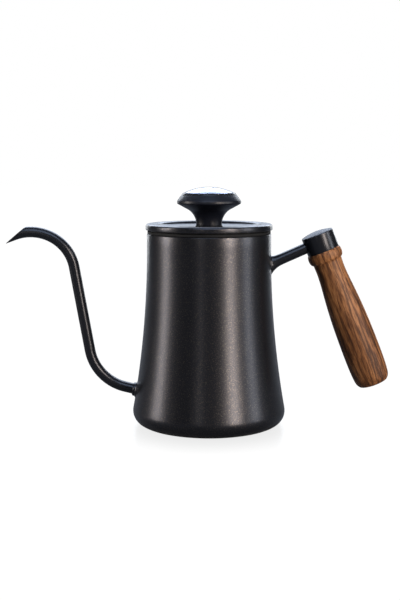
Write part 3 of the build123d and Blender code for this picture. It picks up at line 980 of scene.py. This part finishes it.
# --------------------------------------------------------------------------------------------------
# Handle
# --------------------------------------------------------------------------------------------------
@dataclass
class Handle:
    """Arm, cap, turned grip and the bolt that draws them together."""

    pot: Pot
    centre: tuple[float, float] = (84.44, 80.0)
    tilt: float = math.radians(21.54)
    cap_r: float = 10.25
    cap_foot: float = 33.3
    cap_edge: float = 44.8
    cap_dome: float = 1.6
    cap_bore_r: float = 8.85
    cap_roof: float = 43.4
    tenon_r: float = 8.5
    tenon_top: float = 41.0
    grip_end: float = -58.0
    arm_r: float = 3.5
    arm_point: tuple[float, float] = (50.8, 107.9)
    arm_slope: float = math.radians(23.9)
    bolt_r: float = 2.5
    bolt_top: float = 42.8
    boss_foot: float = 35.0
    counterbore_r: float = 6.2
    counterbore_depth: float = 10.0

    def on_axis(self) -> Matrix:
        """Place of the handle's own axis; Z runs up it."""
        return Matrix.Translation(upright(self.centre)) @ Matrix.Rotation(-self.tilt, 4, "Y")

    def centre_point(self) -> tuple[float, float, float]:
        """Point of the axis, in metres, that the finishes are laid out from."""
        return (self.centre[0] * MM, 0.0, self.centre[1] * MM)

    def section(self, x: float, z: float, tall: float, wide: float, lean: float) -> Matrix:
        """Place of an oval cross-section of the arm, facing along it."""
        turn = Matrix.Rotation(math.pi / 2 - lean, 4, "Y")
        size = Matrix.Diagonal((tall, wide, 1.0, 1.0))
        return Matrix.Translation((x, 0.0, z)) @ turn @ size

    def arm(self) -> bpy.types.Object:
        """Round bar whose foot flares down the wall."""
        slope = math.tan(self.arm_slope)

        def axis_z(x: float) -> float:
            """Height of the bar's axis."""
            return self.arm_point[1] + (x - self.arm_point[0]) * slope

        # distance from the wall, drop below the bar's axis, half height and half width
        flare = ((-0.25, -1.35, 6.55, 4.35), (0.15, -1.30, 6.25, 4.05), (0.7, -1.12, 5.75, 3.85),
                 (1.6, -0.80, 5.05, 3.68), (2.8, -0.48, 4.50, 3.58), (4.2, -0.22, 4.12, 3.52),
                 (5.8, -0.06, 3.90, 3.50))
        places = []
        for out, drop, tall, wide in flare:
            x = self.pot.neck_r + out
            places.append(self.section(x, axis_z(x) + drop, tall, wide, 0.0))
        for x, lean in ((47.2, 0.5), (49.5, 1.0), (55.0, 1.0)):
            tall = self.arm_r / math.cos(self.arm_slope * (1 - lean))
            places.append(self.section(x, axis_z(x), tall, self.arm_r, self.arm_slope * lean))
        end_x = 61.3
        places.append(self.section(end_x, axis_z(end_x), self.arm_r, self.arm_r, self.tilt))
        work = Workpiece().loft(places, 40)
        bmesh.ops.holes_fill(work.bm, edges=work.bm.edges, sides=0)
        return work.piece("handle_arm_bar", Body.KETTLE, "gloss_coating", ["handle_arm"], [GLOSS], 50.0)

    def cap(self) -> bpy.types.Object:
        """Domed cup over the grip's tenon."""
        dome = dome_outline(self.cap_r - 0.25, self.cap_edge, self.cap_edge + self.cap_dome)
        outline = [Corner(0.0, self.cap_roof), Corner(self.cap_bore_r, self.cap_roof),
                   Corner(self.cap_bore_r, self.cap_foot), Corner(self.cap_r, self.cap_foot, 0.25, 3),
                   Corner(self.cap_r, self.cap_edge - 0.25, 0.3, 3), *dome]
        work = turned(outline, 96, closed=False)
        work.paint(1, lambda c: c.z > self.cap_edge - 0.05)
        face = TurnedFace(centre=self.centre_point(), tilt=self.tilt)
        return work.moved(self.on_axis()).piece("handle_cap_cup", Body.KETTLE, "gloss_coating", ["handle_cap"],
                                                [GLOSS, face], 28.0)

    def grip(self) -> bpy.types.Object:
        """Turned walnut grip with a bored end."""
        bead = smooth_outline([(10.15, self.cap_foot), (10.62, 32.6), (10.95, 31.5), (11.05, 30.1),
                               (10.92, 28.7), (10.52, 27.4), (9.85, 26.55), (9.32, 26.3)], 5)
        palm = smooth_outline([(9.22, 26.0), (9.12, 23.5), (9.03, 20.0), (9.25, 15.0), (9.85, 8.0), (10.45, 1.5),
                               (11.1, -7.4), (11.55, -17.0), (11.78, -28.0), (11.84, -38.0), (11.7, -46.0),
                               (11.4, -51.0), (10.75, -55.2), (9.3, -57.5), (7.9, self.grip_end)], 5)
        floor = self.grip_end + self.counterbore_depth
        outline = [Corner(self.tenon_r, self.tenon_top, 0.5, 3), Corner(self.tenon_r, self.cap_foot), *bead, *palm,
                   Corner(self.counterbore_r, self.grip_end, 0.35, 3), Corner(self.counterbore_r, floor),
                   Corner(self.bolt_r + 0.3, floor), Corner(self.bolt_r + 0.3, self.tenon_top)]
        work = turned(outline, 112).moved(self.on_axis())
        wood = Walnut(centre=self.centre_point(), tilt=self.tilt)
        return work.piece("handle_grip_wood", Body.KETTLE, "walnut", ["handle_grip"], [wood], 40.0)

    def bolt(self) -> None:
        """Socket-head bolt with its flat and split washers, and the boss that takes it."""
        floor = self.grip_end + self.counterbore_depth
        place = self.on_axis()
        flat, split = 1.0, 0.6
        washer = ring(5.0, self.bolt_r + 0.15, floor - flat, floor, 0.12, 64).moved(place)
        washer.steel("bolt_washer", Body.KETTLE, "handle_washer")
        bore_r, edge_r, opening = self.bolt_r + 0.1, 4.4, 0.975
        corners = ((bore_r, -split), (edge_r, -split), (edge_r, 0.0), (bore_r, 0.0))
        coil = Workpiece().wire([Corner(r, z, 0.1, 2) for r, z in corners], True).coil(opening, 0.55, 60)
        coil.moved(place @ Matrix.Translation((0, 0, floor - 1.58)))
        coil.steel("bolt_split_washer", Body.KETTLE, "handle_spring_washer")
        seat = floor - 2.2
        shank = rod(self.bolt_r - 0.03, seat, self.bolt_top, 0.4, 48)
        head = turned([Corner(2.3, seat), Corner(4.25, seat), Corner(4.25, seat - 5.0, 0.6, 4),
                       Corner(2.75, seat - 5.0), Corner(2.25, seat - 4.5), Corner(2.25, seat - 2.4),
                       Corner(0.0, seat - 1.9)], 48, closed=False)
        knurl = Workpiece()
        ridges = 48
        for number in range(ridges):
            turn = Matrix.Rotation(FULL_TURN * number / ridges, 4, "Z")
            spot = turn @ Matrix.Translation((4.26, 0.0, seat - 2.3))
            bmesh.ops.create_cube(knurl.bm, size=1.0, matrix=spot @ Matrix.Diagonal((0.16, 0.22, 3.6, 1.0)))
        shank.add(head).add(knurl).moved(place).steel("grip_bolt", Body.KETTLE, "handle_bolt")
        boss = ring(self.bolt_r + 1.9, self.bolt_r, self.boss_foot, self.cap_roof, 0.15, 48).moved(place)
        boss.steel("bolt_boss", Body.KETTLE, "cap_boss")

    def make(self) -> None:
        """Build the whole handle."""
        self.arm()
        self.cap()
        self.grip()
        self.bolt()


# --------------------------------------------------------------------------------------------------
# Lid
# --------------------------------------------------------------------------------------------------
@dataclass
class Lid:
    """Pressed pan, skirt, silicone ring and the knob's fixings."""

    sheet: float = 0.7
    lip_r: float = 32.6
    pan_r: float = 31.5
    pan_z: float = 126.2
    skirt_r: float = 37.0
    skirt_z: float = 111.0
    stud_r: float = 4.0
    stud_bore: float = 2.3
    stud_top: float = 136.0
    skirt_lip_r: float = 34.2
    seal_lip_r: float = 38.05
    seal_flange: float = 1.6
    washer: float = 1.0
    vent_r: float = 1.5
    vent_y: float = 27.0
    low: Vector = field(default_factory=lambda: frame_span("lid_pan")[0])
    high: Vector = field(default_factory=lambda: frame_span("lid_pan")[1])

    def pan(self) -> bpy.types.Object:
        """Outer band, rolled lip and recessed floor from one sheet."""
        radius = self.high.x
        t = self.sheet
        top, foot = self.high.z, self.low.z
        work = turned([
            Corner(radius, foot, 0.3, 3), Corner(radius, top, 1.5, 8), Corner(self.lip_r, top, 1.5, 8),
            Corner(self.pan_r, self.pan_z, 1.1, 6), Corner(self.stud_r + 0.2, self.pan_z),
            Corner(self.stud_r + 0.2, self.pan_z - t), Corner(self.pan_r + 0.3, self.pan_z - t, 1.7, 6),
            Corner(self.lip_r + 0.6, top - t, 0.8, 6), Corner(radius - t, top - t, 0.8, 6),
            Corner(radius - t, foot, 0.3, 3),
        ], 160)
        work.paint(1, lambda c: c.z < self.pan_z - 0.5 * t and math.hypot(c.x, c.y) < self.pan_r)
        made = work.piece("lid_pan_sheet", Body.LID, "body_coating", ["lid_pan"], [COAT, STEEL])
        carve(made, rod(self.vent_r, -2.0, 2.0).moved(Matrix.Translation((0.0, self.vent_y, self.pan_z))))
        return made

    def skirt(self) -> bpy.types.Object:
        """Ring welded under the lip, with a flange and an outward bead at its foot; its upper outside is painted
        shade.
        """
        t, r, low = self.sheet, self.skirt_r, self.skirt_z
        top = frame_span("lid_skirt")[1].z
        work = turned([
            Corner(self.skirt_lip_r, top - t), Corner(r - t, top - t, 0.5, 4), Corner(r - t, low, 1.0, 5),
            Corner(r + 1.0, low, 0.3, 4), Corner(r + 1.0, low + t, 0.3, 4), Corner(r, low + t, 0.4, 4),
            Corner(r, 0.5 * (low + top)), Corner(r, top, 0.9, 5),
            Corner(self.skirt_lip_r, top),
        ], 128)
        # painted shade: the upper outside of the steel skirt, seen through the gap under the lid's band, gets the
        # black silicone finish to darken that gap
        work.paint(1, lambda c: c.z > 0.5 * (low + top) and math.hypot(c.x, c.y) > r - 0.5 * t)
        return work.piece("lid_skirt_ring", Body.LID, "steel", ["lid_skirt"], [STEEL, RUBBER])

    def gasket(self) -> bpy.types.Object:
        """Silicone ring with a flange on the rim and two lips in the mouth."""
        low, high = frame_span("lid_gasket")
        inner, lip, flange = self.skirt_r + 0.3, self.seal_lip_r, high.x
        sleeve = inner + 0.4
        outline = [Corner(inner, low.z, 0.1, 2), Corner(sleeve, low.z, 0.1, 2)]
        for height in (low.z + 1.5, low.z + 5.0):
            outline += [Corner(sleeve, height), Corner(lip, height + 0.7, 0.1, 2),
                        Corner(lip, height + 1.1, 0.1, 2), Corner(sleeve, height + 1.5)]
        seat = high.z - self.seal_flange
        outline += [Corner(sleeve, seat), Corner(flange, seat, 0.25, 4), Corner(flange, high.z, 0.25, 4),
                    Corner(inner, high.z, 0.1, 2)]
        return turned(outline, 128).piece("lid_seal_ring", Body.SEAL, "silicone", ["lid_gasket"], [RUBBER])

    def fixings(self) -> None:
        """Seal washer, hollow threaded stud, washer and nut."""
        knob_low = frame_span("knob")[0].z
        ring(8.6, self.stud_r + 0.1, self.pan_z, knob_low, 0.2, 64).piece(
            "knob_seal_washer", Body.LID, "silicone", ["knob_seal"], [RUBBER])
        under = self.pan_z - self.sheet
        washer = ring(8.0, self.stud_r + 0.2, under - self.washer, under, 0.15, 64)
        washer.steel("nut_washer_disc", Body.LID, "nut_washer")
        low = frame_span("knob_stud")[0].z
        pitch, root_r, crest_r = 1.0, self.stud_r - 0.32, self.stud_r - 0.02
        outline = [Corner(self.stud_bore, low, 0.2, 2), Corner(root_r, low, 0.3, 2)]
        for number in range(int((under - 5.0 - low) / pitch) + 1):
            root = low + 0.3 + pitch * number
            outline += [Corner(root_r, root), Corner(crest_r, root + 0.4), Corner(crest_r, root + 0.6)]
        outline += [Corner(crest_r, self.stud_top), Corner(self.stud_bore, self.stud_top)]
        turned(outline, 64).steel("knob_stud_thread", Body.LID, "knob_stud")
        self.nut(under - self.washer)

    def nut(self, top: float) -> bpy.types.Object:
        """Hexagon nut with turned chamfers on its lower face."""
        below, above = frame_span("knob_nut")
        twelfth = math.pi / 6
        work = Workpiece()
        edges = work.circle(Matrix.Scale(above.y / math.cos(twelfth), 4), 6)
        edges += work.circle(Matrix.Scale(self.stud_r, 4), 48)
        bmesh.ops.triangle_fill(work.bm, use_beauty=True, use_dissolve=False, edges=edges)
        work.raised(top - below.z)
        work.moved(Matrix.Translation((0.0, 0.0, below.z)) @ Matrix.Rotation(twelfth, 4, "Z"))

        def outer(edge: bmesh.types.BMEdge) -> bool:
            """Whether an edge lies on the hexagon."""
            far = all(vert.co.xy.length > self.stud_r + 1.0 for vert in edge.verts)
            return far and edge.calc_face_angle(0.0) > 0.3

        work.bevel_edges(outer, 0.35, 3)
        return work.steel("stud_nut", Body.LID, "knob_nut")

    def make(self) -> None:
        """Build the lid and its seal."""
        self.pan()
        self.skirt()
        self.gasket()
        self.fixings()


# --------------------------------------------------------------------------------------------------
# Knob and thermometer
# --------------------------------------------------------------------------------------------------
@dataclass
class Knob:
    """Moulded knob with a well for the dial head, and the bezel on top of it."""

    neck_r: float = 8.1
    cone_foot: float = 134.09
    head_foot: float = 140.63
    head_top: float = 142.3
    top_r: float = 17.5
    well_r: float = 16.0
    well_z: float = 141.0
    stem_r: float = 2.3
    stud_r: float = 4.0
    stud_top: float = 136.0
    bezel_top_r: float = 16.4
    bezel_lip: float = 15.7
    bezel_bore: float = 16.3
    bezel_top: float = field(default_factory=lambda: frame_span("bezel_ring")[1].z)
    low: Vector = field(default_factory=lambda: frame_span("knob")[0])
    high: Vector = field(default_factory=lambda: frame_span("knob")[1])

    def moulding(self) -> bpy.types.Object:
        """Slim neck sweeping out to a wide, chamfered head."""
        widest, foot, top = self.high.x, self.low.z, self.high.z
        work = turned([
            Corner(self.neck_r, foot, 0.25, 3), Corner(self.neck_r, self.cone_foot, 10.0, 18),
            Corner(widest, self.head_foot, 1.0, 7), Corner(widest, self.head_top, 1.2, 7),
            Corner(self.top_r, top, 0.12, 3), Corner(self.well_r, top), Corner(self.well_r, self.well_z),
            Corner(self.stem_r, self.well_z), Corner(self.stem_r, self.stud_top),
            Corner(self.stud_r, self.stud_top), Corner(self.stud_r, foot),
        ], 144)
        return work.piece("knob_moulding", Body.LID, "knob_black", ["knob"], [MOULDING], 35.0)

    def bezel(self) -> bpy.types.Object:
        """Black ring that holds the window down."""
        foot, top = self.high.z, self.bezel_top
        work = turned([
            Corner(self.bezel_bore, foot), Corner(self.top_r, foot, 0.12, 3),
            Corner(self.bezel_top_r, top, 0.25, 4), Corner(self.bezel_lip, top, 0.15, 3),
            Corner(self.bezel_lip, top - 0.4), Corner(self.bezel_bore, top - 0.4),
        ], 144)
        glossy = BlackMoulding("bezel_black", 0.24, (0.008, 0.009, 0.011))
        return work.piece("window_bezel", Body.LID, "knob_black", ["bezel_ring"], [glossy], 35.0)

    def make(self) -> None:
        """Build the knob."""
        self.moulding()
        self.bezel()


@dataclass(frozen=True)
class Scale:
    """A printed scale: its ticks' radii, numerals and ink."""

    name: str
    values: tuple[int, ...]
    tick_step: float
    tick_inner: float
    tick_outer: float
    major_outer: float
    numeral_r: float
    numeral_size: float
    ink: Ink
    tick_ink: Ink


@dataclass
class Thermometer:
    """Dial head, window and the probe that hangs in the water."""

    dial_z: float = 144.0
    dial_r: float = 15.3
    plate: float = 0.4
    cup: float = 0.7
    case_r: float = 16.0
    case_z: float = 141.0
    sweep: float = 3.0            # degrees of dial for each degree Celsius
    first: float = -150.0         # dial angle of 0 degrees Celsius, clockwise from the top
    print_height: float = 0.03
    window_edge: float = 147.5
    lens_high: Vector = field(default_factory=lambda: frame_span("lens")[1])
    lens_low: Vector = field(default_factory=lambda: frame_span("lens")[0])

    def dial_angle(self, celsius: float) -> float:
        """Turn about Z, in radians, that brings the dial's top to a reading."""
        return -math.radians(self.first + self.sweep * celsius)

    def flat(self, work: Workpiece, low: float, high: float, width: float, turn: float) -> None:
        """Print one radial bar."""
        spot = Matrix.Rotation(turn, 4, "Z") @ Matrix.Translation((0.0, (low + high) / 2, 0.0))
        bmesh.ops.create_grid(work.bm, x_segments=1, y_segments=1, size=0.5,
                              matrix=spot @ Matrix.Diagonal((width, high - low, 1.0, 1.0)))

    def sector(self, low: float, high: float, start: float, end: float) -> Workpiece:
        """Print a band between two readings."""
        work = Workpiece()
        turn = Matrix.Rotation(self.dial_angle(start), 4, "Z")
        ends = [work.bm.verts.new(turn @ Vector((0.0, reach, 0.0))) for reach in (low, high)]
        edge = work.bm.edges.new(ends)
        angle = self.dial_angle(end) - self.dial_angle(start)
        steps = max(2, int(abs(math.degrees(angle)) / 2))
        bmesh.ops.spin(work.bm, geom=[*ends, edge], cent=(0, 0, 0), axis=UP, angle=angle, steps=steps,
                       use_duplicate=False)
        for face in work.bm.faces:
            face.normal_update()
            if face.normal.z < 0:
                face.normal_flip()
        return work

    def lettering(self, work: Workpiece, text: str, size: float, place: Matrix) -> None:
        """Print a word or number, centred on a place."""
        curve = bpy.data.curves.new("lettering", "FONT")
        curve.body = text
        curve.size = size
        curve.align_x = "CENTER"
        curve.align_y = "CENTER"
        curve.resolution_u = 3
        curve.offset = size * 0.03
        spare = hang("lettering", curve)
        graph = bpy.context.evaluated_depsgraph_get()
        mesh = bpy.data.meshes.new_from_object(spare.evaluated_get(graph))
        mesh.transform(place)
        work.bm.from_mesh(mesh)
        bpy.data.objects.remove(spare)
        bpy.data.curves.remove(curve)
        bpy.data.meshes.remove(mesh)

    def printed(self, work: Workpiece, name: str, ink: Ink, layer: int = 1) -> bpy.types.Object:
        """Lay a print on the dial.

        Args:
            work: the flat print, at height 0.
            name: the piece's name.
            ink: its colour.
            layer: how many prints it lies on.

        Returns:
            The new object.
        """
        work.moved(Matrix.Translation((0.0, 0.0, self.dial_z + self.print_height * layer)))
        return work.piece(name, Body.LID, "dial_metal", [], [ink])

    def scale(self, scale: Scale, to_celsius: Callable[[float], float]) -> None:
        """Print a scale's ticks and numerals."""
        ticks = Workpiece()
        value = float(scale.values[0])
        while value <= scale.values[-1] + 1e-6:
            major = min(abs(value - known) for known in scale.values) < 1e-6
            outer = scale.major_outer if major else scale.tick_outer
            self.flat(ticks, scale.tick_inner, outer, 0.26 if major else 0.16, self.dial_angle(to_celsius(value)))
            value += scale.tick_step
        self.printed(ticks, f"dial_ticks_{scale.name}", scale.tick_ink, 3)
        numerals = Workpiece()
        for value in scale.values:
            turn = Matrix.Rotation(self.dial_angle(to_celsius(value)), 4, "Z")
            place = turn @ Matrix.Translation((0, scale.numeral_r, 0))
            self.lettering(numerals, str(value), scale.numeral_size, place)
        self.printed(numerals, f"dial_numerals_{scale.name}", scale.ink, 3)

    def dial(self) -> None:
        """Dial plate with its printed zones, circles, scales and unit letters."""
        work = turned([
            Corner(0.75, self.dial_z - self.plate), Corner(self.dial_r, self.dial_z - self.plate),
            Corner(self.dial_r, self.dial_z, 0.1, 2), Corner(0.75, self.dial_z, 0.08, 2),
        ], 128)
        work.piece("dial_face", Body.LID, "dial_metal", ["dial_plate"], [DialMetal()])
        # name, ink, inner and outer radius, first and last reading, how many prints it lies on
        bands = (
            ("zone_amber", AMBER_INK, 8.2, 11.75, 60.0, 70.0, 1),
            ("zone_orange", ORANGE_INK, 8.2, 12.0, 80.0, 95.0, 1),
            ("band_pink", PINK_INK, 10.2, 11.1, 0.0, 60.0, 1),
            ("band_grey", PALE_GREY_INK, 8.6, 9.2, 0.0, 60.0, 1),
            ("circle_white", WHITE_INK, 9.45, 9.75, 0.0, 100.0, 2),
            ("circle_red", RED_INK, 10.0, 10.2, 0.0, 100.0, 2),
            ("circle_grey", GREY_INK, 9.2, 9.35, 0.0, 100.0, 2),
        )
        for name, ink, inner, outer, start, end, layer in bands:
            self.printed(self.sector(inner, outer, start, end), f"dial_{name}", ink, layer)
        celsius = Scale("celsius", tuple(range(0, 101, 10)), 1.0, 10.2, 11.0, 11.45, 12.7, 2.1, RED_INK, RED_INK)
        self.scale(celsius, lambda value: value)
        fahrenheit = Scale("fahrenheit", tuple(range(32, 213, 18)), 2.0, 8.65, 9.2, 9.2, 7.25, 1.5,
                           BLACK_INK, GREY_INK)
        self.scale(fahrenheit, lambda value: (value - 32.0) / 1.8)
        for text, reach, ink, name in (("°F", -8.1, BLACK_INK, "fahrenheit"), ("°C", -10.5, RED_INK, "celsius")):
            unit = Workpiece()
            self.lettering(unit, text, 1.9, Matrix.Translation((0.0, reach, 0.0)))
            self.printed(unit, f"dial_unit_{name}", ink, 3)

    def window(self) -> None:
        """Domed window on its gasket."""
        top = self.lens_low.z + 0.6
        flange = self.lens_high.x
        outer = dome_outline(15.6, self.window_edge, self.lens_high.z, 14)
        inner = dome_outline(14.6, self.lens_low.z, self.lens_high.z - 1.5, 14)
        outline = [*reversed(inner), Corner(flange, self.lens_low.z), Corner(flange, top), Corner(15.6, top), *outer]
        turned(outline, 112, closed=False).piece("dial_window", Body.LID, "clear", ["lens"], [Window()])
        ring(flange, self.dial_r + 0.1, self.lens_low.z - 0.4, self.lens_low.z, 0.1, 96).piece(
            "window_seal", Body.LID, "silicone", ["lens_gasket"], [RUBBER])

    def case(self) -> bpy.types.Object:
        """Pressed cup under the dial."""
        high = frame_span("thermometer_case")[1].z
        work = turned([
            Corner(2.0, self.case_z), Corner(self.case_r, self.case_z, 0.3, 3), Corner(self.case_r, high, 0.15, 3),
            Corner(self.dial_r + 0.1, high, 0.15, 3), Corner(self.dial_r + 0.1, self.dial_z - self.plate),
            Corner(self.dial_r - 0.8, self.dial_z - self.plate), Corner(self.dial_r - 0.8, self.case_z + self.cup),
            Corner(2.0, self.case_z + self.cup),
        ], 112)
        return work.steel("dial_case", Body.LID, "thermometer_case")

    def probe(self) -> None:
        """Stem, round-nosed tip and the helix inside."""
        low, high = frame_span("probe_tube")
        bore_r, nose_r = 1.6, 2.0
        ring(high.x, bore_r, low.z, high.z, 0.0, 48).steel("probe_stem", Body.LID, "probe_tube")
        shoulder = frame_span("probe_tip")[0].z + nose_r
        nose = [Corner(nose_r * math.sin(angle), shoulder - nose_r * math.cos(angle))
                for angle in (math.pi / 16 * number for number in range(9))]
        plug = [Corner(bore_r, shoulder), Corner(bore_r, shoulder + 2.0), Corner(0.0, shoulder + 2.0)]
        turned(nose + plug, 48, closed=False).steel("probe_nose", Body.LID, "probe_tip")
        coil_low, coil_high = frame_span("bimetal_coil")
        pitch, wire, reach = 1.5, 0.16, 1.1
        turns = (coil_high.z - coil_low.z - 2 * wire) / pitch
        helix = Workpiece()
        square_on = Matrix.Translation((reach, 0.0, coil_low.z + wire)) @ Matrix.Rotation(math.pi / 2, 4, "X")
        helix.circle(square_on @ Matrix.Scale(wire, 4), 8)
        helix.coil(turns, pitch * turns, int(turns * 24))
        brass = PinMetal("bimetal", (0.60, 0.42, 0.22))
        helix.piece("bimetal_helix", Body.LID, "bimetal", ["bimetal_coil"], [brass])

    def make(self) -> None:
        """Build the thermometer."""
        self.case()
        self.dial()
        self.window()
        self.probe()


@dataclass
class Pointer:
    """Red needle on its hub and spindle."""

    reading: float = 79.0          # degrees left of the dial's top
    length: float = 12.0
    tail: float = 5.7
    thickness: float = 0.3
    hub_r: float = 1.25
    spindle_r: float = 0.45
    low: Vector = field(default_factory=lambda: frame_span("pointer_needle")[0])

    def needle(self) -> bpy.types.Object:
        """Flat needle, tapering to a point, with a rounded tail."""
        work = Workpiece()
        root, point, half, back = 0.75, 0.16, 0.7, -self.tail
        for outline in (((-root, 0.0), (root, 0.0), (point, self.length), (-point, self.length)),
                        ((-half, back), (half, back), (half, 0.0), (-half, 0.0))):
            corners = [work.bm.verts.new((x, y, 0.0)) for x, y in outline]
            work.bm.faces.new(corners)
        bmesh.ops.bevel(work.bm, geom=corners[:2], offset=0.66, offset_type="OFFSET", segments=6, profile=0.5,
                        affect="VERTICES", material=-1)
        work.raised(self.thickness)
        work.bevel_edges(lambda edge: edge.calc_face_angle(0.0) > 1.0, 0.05, 2)
        work.moved(Matrix.Translation((0, 0, self.low.z)) @ Matrix.Rotation(math.radians(self.reading), 4, "Z"))
        return work.piece("needle_red", Body.POINTER, "pointer_red", ["pointer_needle"], [Enamel()])

    def make(self) -> None:
        """Build the pointer."""
        self.needle()
        base = self.low.z
        ring(self.hub_r, self.spindle_r, base - 0.6, base, 0.08, 48).piece(
            "needle_boss", Body.POINTER, "pin_metal", ["pointer_hub"], [PinMetal()])
        top = base + self.thickness
        cap = turned([Corner(self.spindle_r, top), Corner(self.hub_r, top, 0.1, 2),
                      Corner(self.hub_r, top + 0.6, 0.28, 4), Corner(self.spindle_r + 0.15, top + 0.6, 0.1, 3),
                      Corner(self.spindle_r, top + 0.45)], 48)
        cap.piece("needle_cap", Body.POINTER, "knob_black", ["pointer_cap"], [BlackMoulding("hub_black", 0.22)])
        low, high = frame_span("pointer_spindle")
        spindle = rod(self.spindle_r, low.z, high.z, 0.15)
        spindle.piece("needle_spindle", Body.POINTER, "pin_metal", ["pointer_spindle"], [PinMetal()])


# --------------------------------------------------------------------------------------------------
# Studio
# --------------------------------------------------------------------------------------------------
@dataclass(frozen=True)
class SoftBox:
    """A soft light, aimed at the kettle; metres, degrees and watts."""

    name: str
    azimuth: float                # degrees clockwise from the camera's side, seen from above
    distance: float
    height: float
    width: float
    tall: float
    power: float
    colour: Colour

    def make(self, aim: Vector) -> None:
        """Hang the light."""
        lamp = bpy.data.lights.new(self.name, "AREA")
        lamp.shape = "RECTANGLE"
        lamp.size = self.width
        lamp.size_y = self.tall
        lamp.energy = self.power
        lamp.color = self.colour
        angle = math.radians(self.azimuth)
        place = Vector((math.sin(angle) * self.distance, -math.cos(angle) * self.distance, self.height))
        hung = hang(self.name, lamp)
        hung.location = place
        hung.rotation_euler = (aim - place).to_track_quat("-Z", "Y").to_euler()


@dataclass
class Studio:
    """Pale floor, soft lights and the camera."""

    eye: tuple[float, float, float] = (-0.0057, -0.6694, 0.1676)
    pitch: float = math.radians(7.5)
    lens: float = 63.72
    lights: tuple[SoftBox, ...] = (
        SoftBox("key_strip", 38.0, 1.3, 0.22, 0.32, 1.2, 25.0, (1.0, 0.87, 0.77)),
        SoftBox("key_shoulder", 72.0, 1.3, 0.25, 0.34, 1.2, 10.0, (0.94, 0.96, 1.0)),
        SoftBox("left_strip", -84.0, 1.2, 0.25, 0.34, 1.2, 18.0, (1.0, 0.92, 0.87)),
        SoftBox("front_kiss", -15.0, 1.3, 0.25, 0.12, 1.2, 1.2, (1.0, 0.93, 0.88)),
        SoftBox("front_top", 0.0, 0.80, 1.00, 0.9, 0.6, 8.0, (0.60, 0.74, 1.0)),
        SoftBox("overhead", 180.0, 0.95, 0.95, 1.3, 1.1, 22.0, (0.72, 0.82, 1.0)),
        SoftBox("rim_right", 154.0, 1.2, 0.22, 0.20, 1.0, 2.4, (0.92, 0.96, 1.0)),
        SoftBox("rim_left", -154.0, 1.2, 0.22, 0.20, 1.0, 2.2, (0.92, 0.96, 1.0)),
    )

    def floor(self) -> None:
        """A wide pale sheet just under the base."""
        work = Workpiece()
        bmesh.ops.create_grid(work.bm, x_segments=4, y_segments=4, size=6.0,
                              matrix=Matrix.Translation((0.0, 0.0, -0.0003)))
        mesh = work.mesh("floor", 1.0)
        mesh.materials.append(PaleFloor().material())
        sheet = hang("floor", mesh)

    def sky(self) -> None:
        """Pale surroundings, white to the eye and dimmer on the side that faces the kettle's front."""
        world = bpy.data.worlds.new("studio")
        bpy.context.scene.world = world
        world.use_nodes = True
        recipe = Recipe(world.node_tree)
        place = recipe.node("ShaderNodeTexCoord", output="Generated")
        parts = []
        for axis, start, end, dim, bright, tint in (("Y", 0.6, 0.92, 0.02, 0.62, (0.86, 0.92, 1.0)),
                                                    ("Z", 0.35, 1.0, 0.0, 0.30, (0.45, 0.62, 1.0))):
            height = recipe.node("ShaderNodeSeparateXYZ", {}, {0: place}, axis)
            strength = recipe.node("ShaderNodeMapRange", {}, {
                "Value": height, "From Min": start, "From Max": end, "To Min": dim, "To Max": bright,
            })
            parts.append(recipe.node("ShaderNodeBackground", {}, {"Color": tint, "Strength": strength}))
        room = recipe.node("ShaderNodeAddShader", {}, {0: parts[0], 1: parts[1]})
        seen = recipe.node("ShaderNodeBackground", {}, {"Color": grey(1.0)})
        eye = recipe.node("ShaderNodeLightPath", output="Is Camera Ray")
        recipe.end("ShaderNodeOutputWorld", recipe.mixed(eye, room, seen))

    def camera(self) -> None:
        """Camera a little above the lid, looking slightly down."""
        data = bpy.data.cameras.new("camera")
        data.lens = self.lens
        data.sensor_width = 36.0
        data.sensor_fit = "AUTO"
        data.clip_start = 0.01
        seen = hang("camera", data)
        seen.location = self.eye
        seen.rotation_euler = (math.pi / 2 - self.pitch, 0.0, 0.0)
        bpy.context.scene.camera = seen

    def make(self) -> None:
        """Set up the studio."""
        bpy.context.scene.view_settings.view_transform = "Standard"
        self.floor()
        self.sky()
        for light in self.lights:
            light.make(Vector((0.0, 0.0, 0.08)))
        self.camera()


def main() -> None:
    """Build the kettle and its studio."""
    logging.basicConfig(level=logging.INFO, format="%(name)s: %(message)s")
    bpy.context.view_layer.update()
    Studio().make()
    pot = Pot()
    shell = pot.make()
    Spout(pot).make(shell)
    Handle(pot).make()
    Lid().make()
    Knob().make()
    Thermometer().make()
    Pointer().make()


if __name__ == "__main__":
    main()
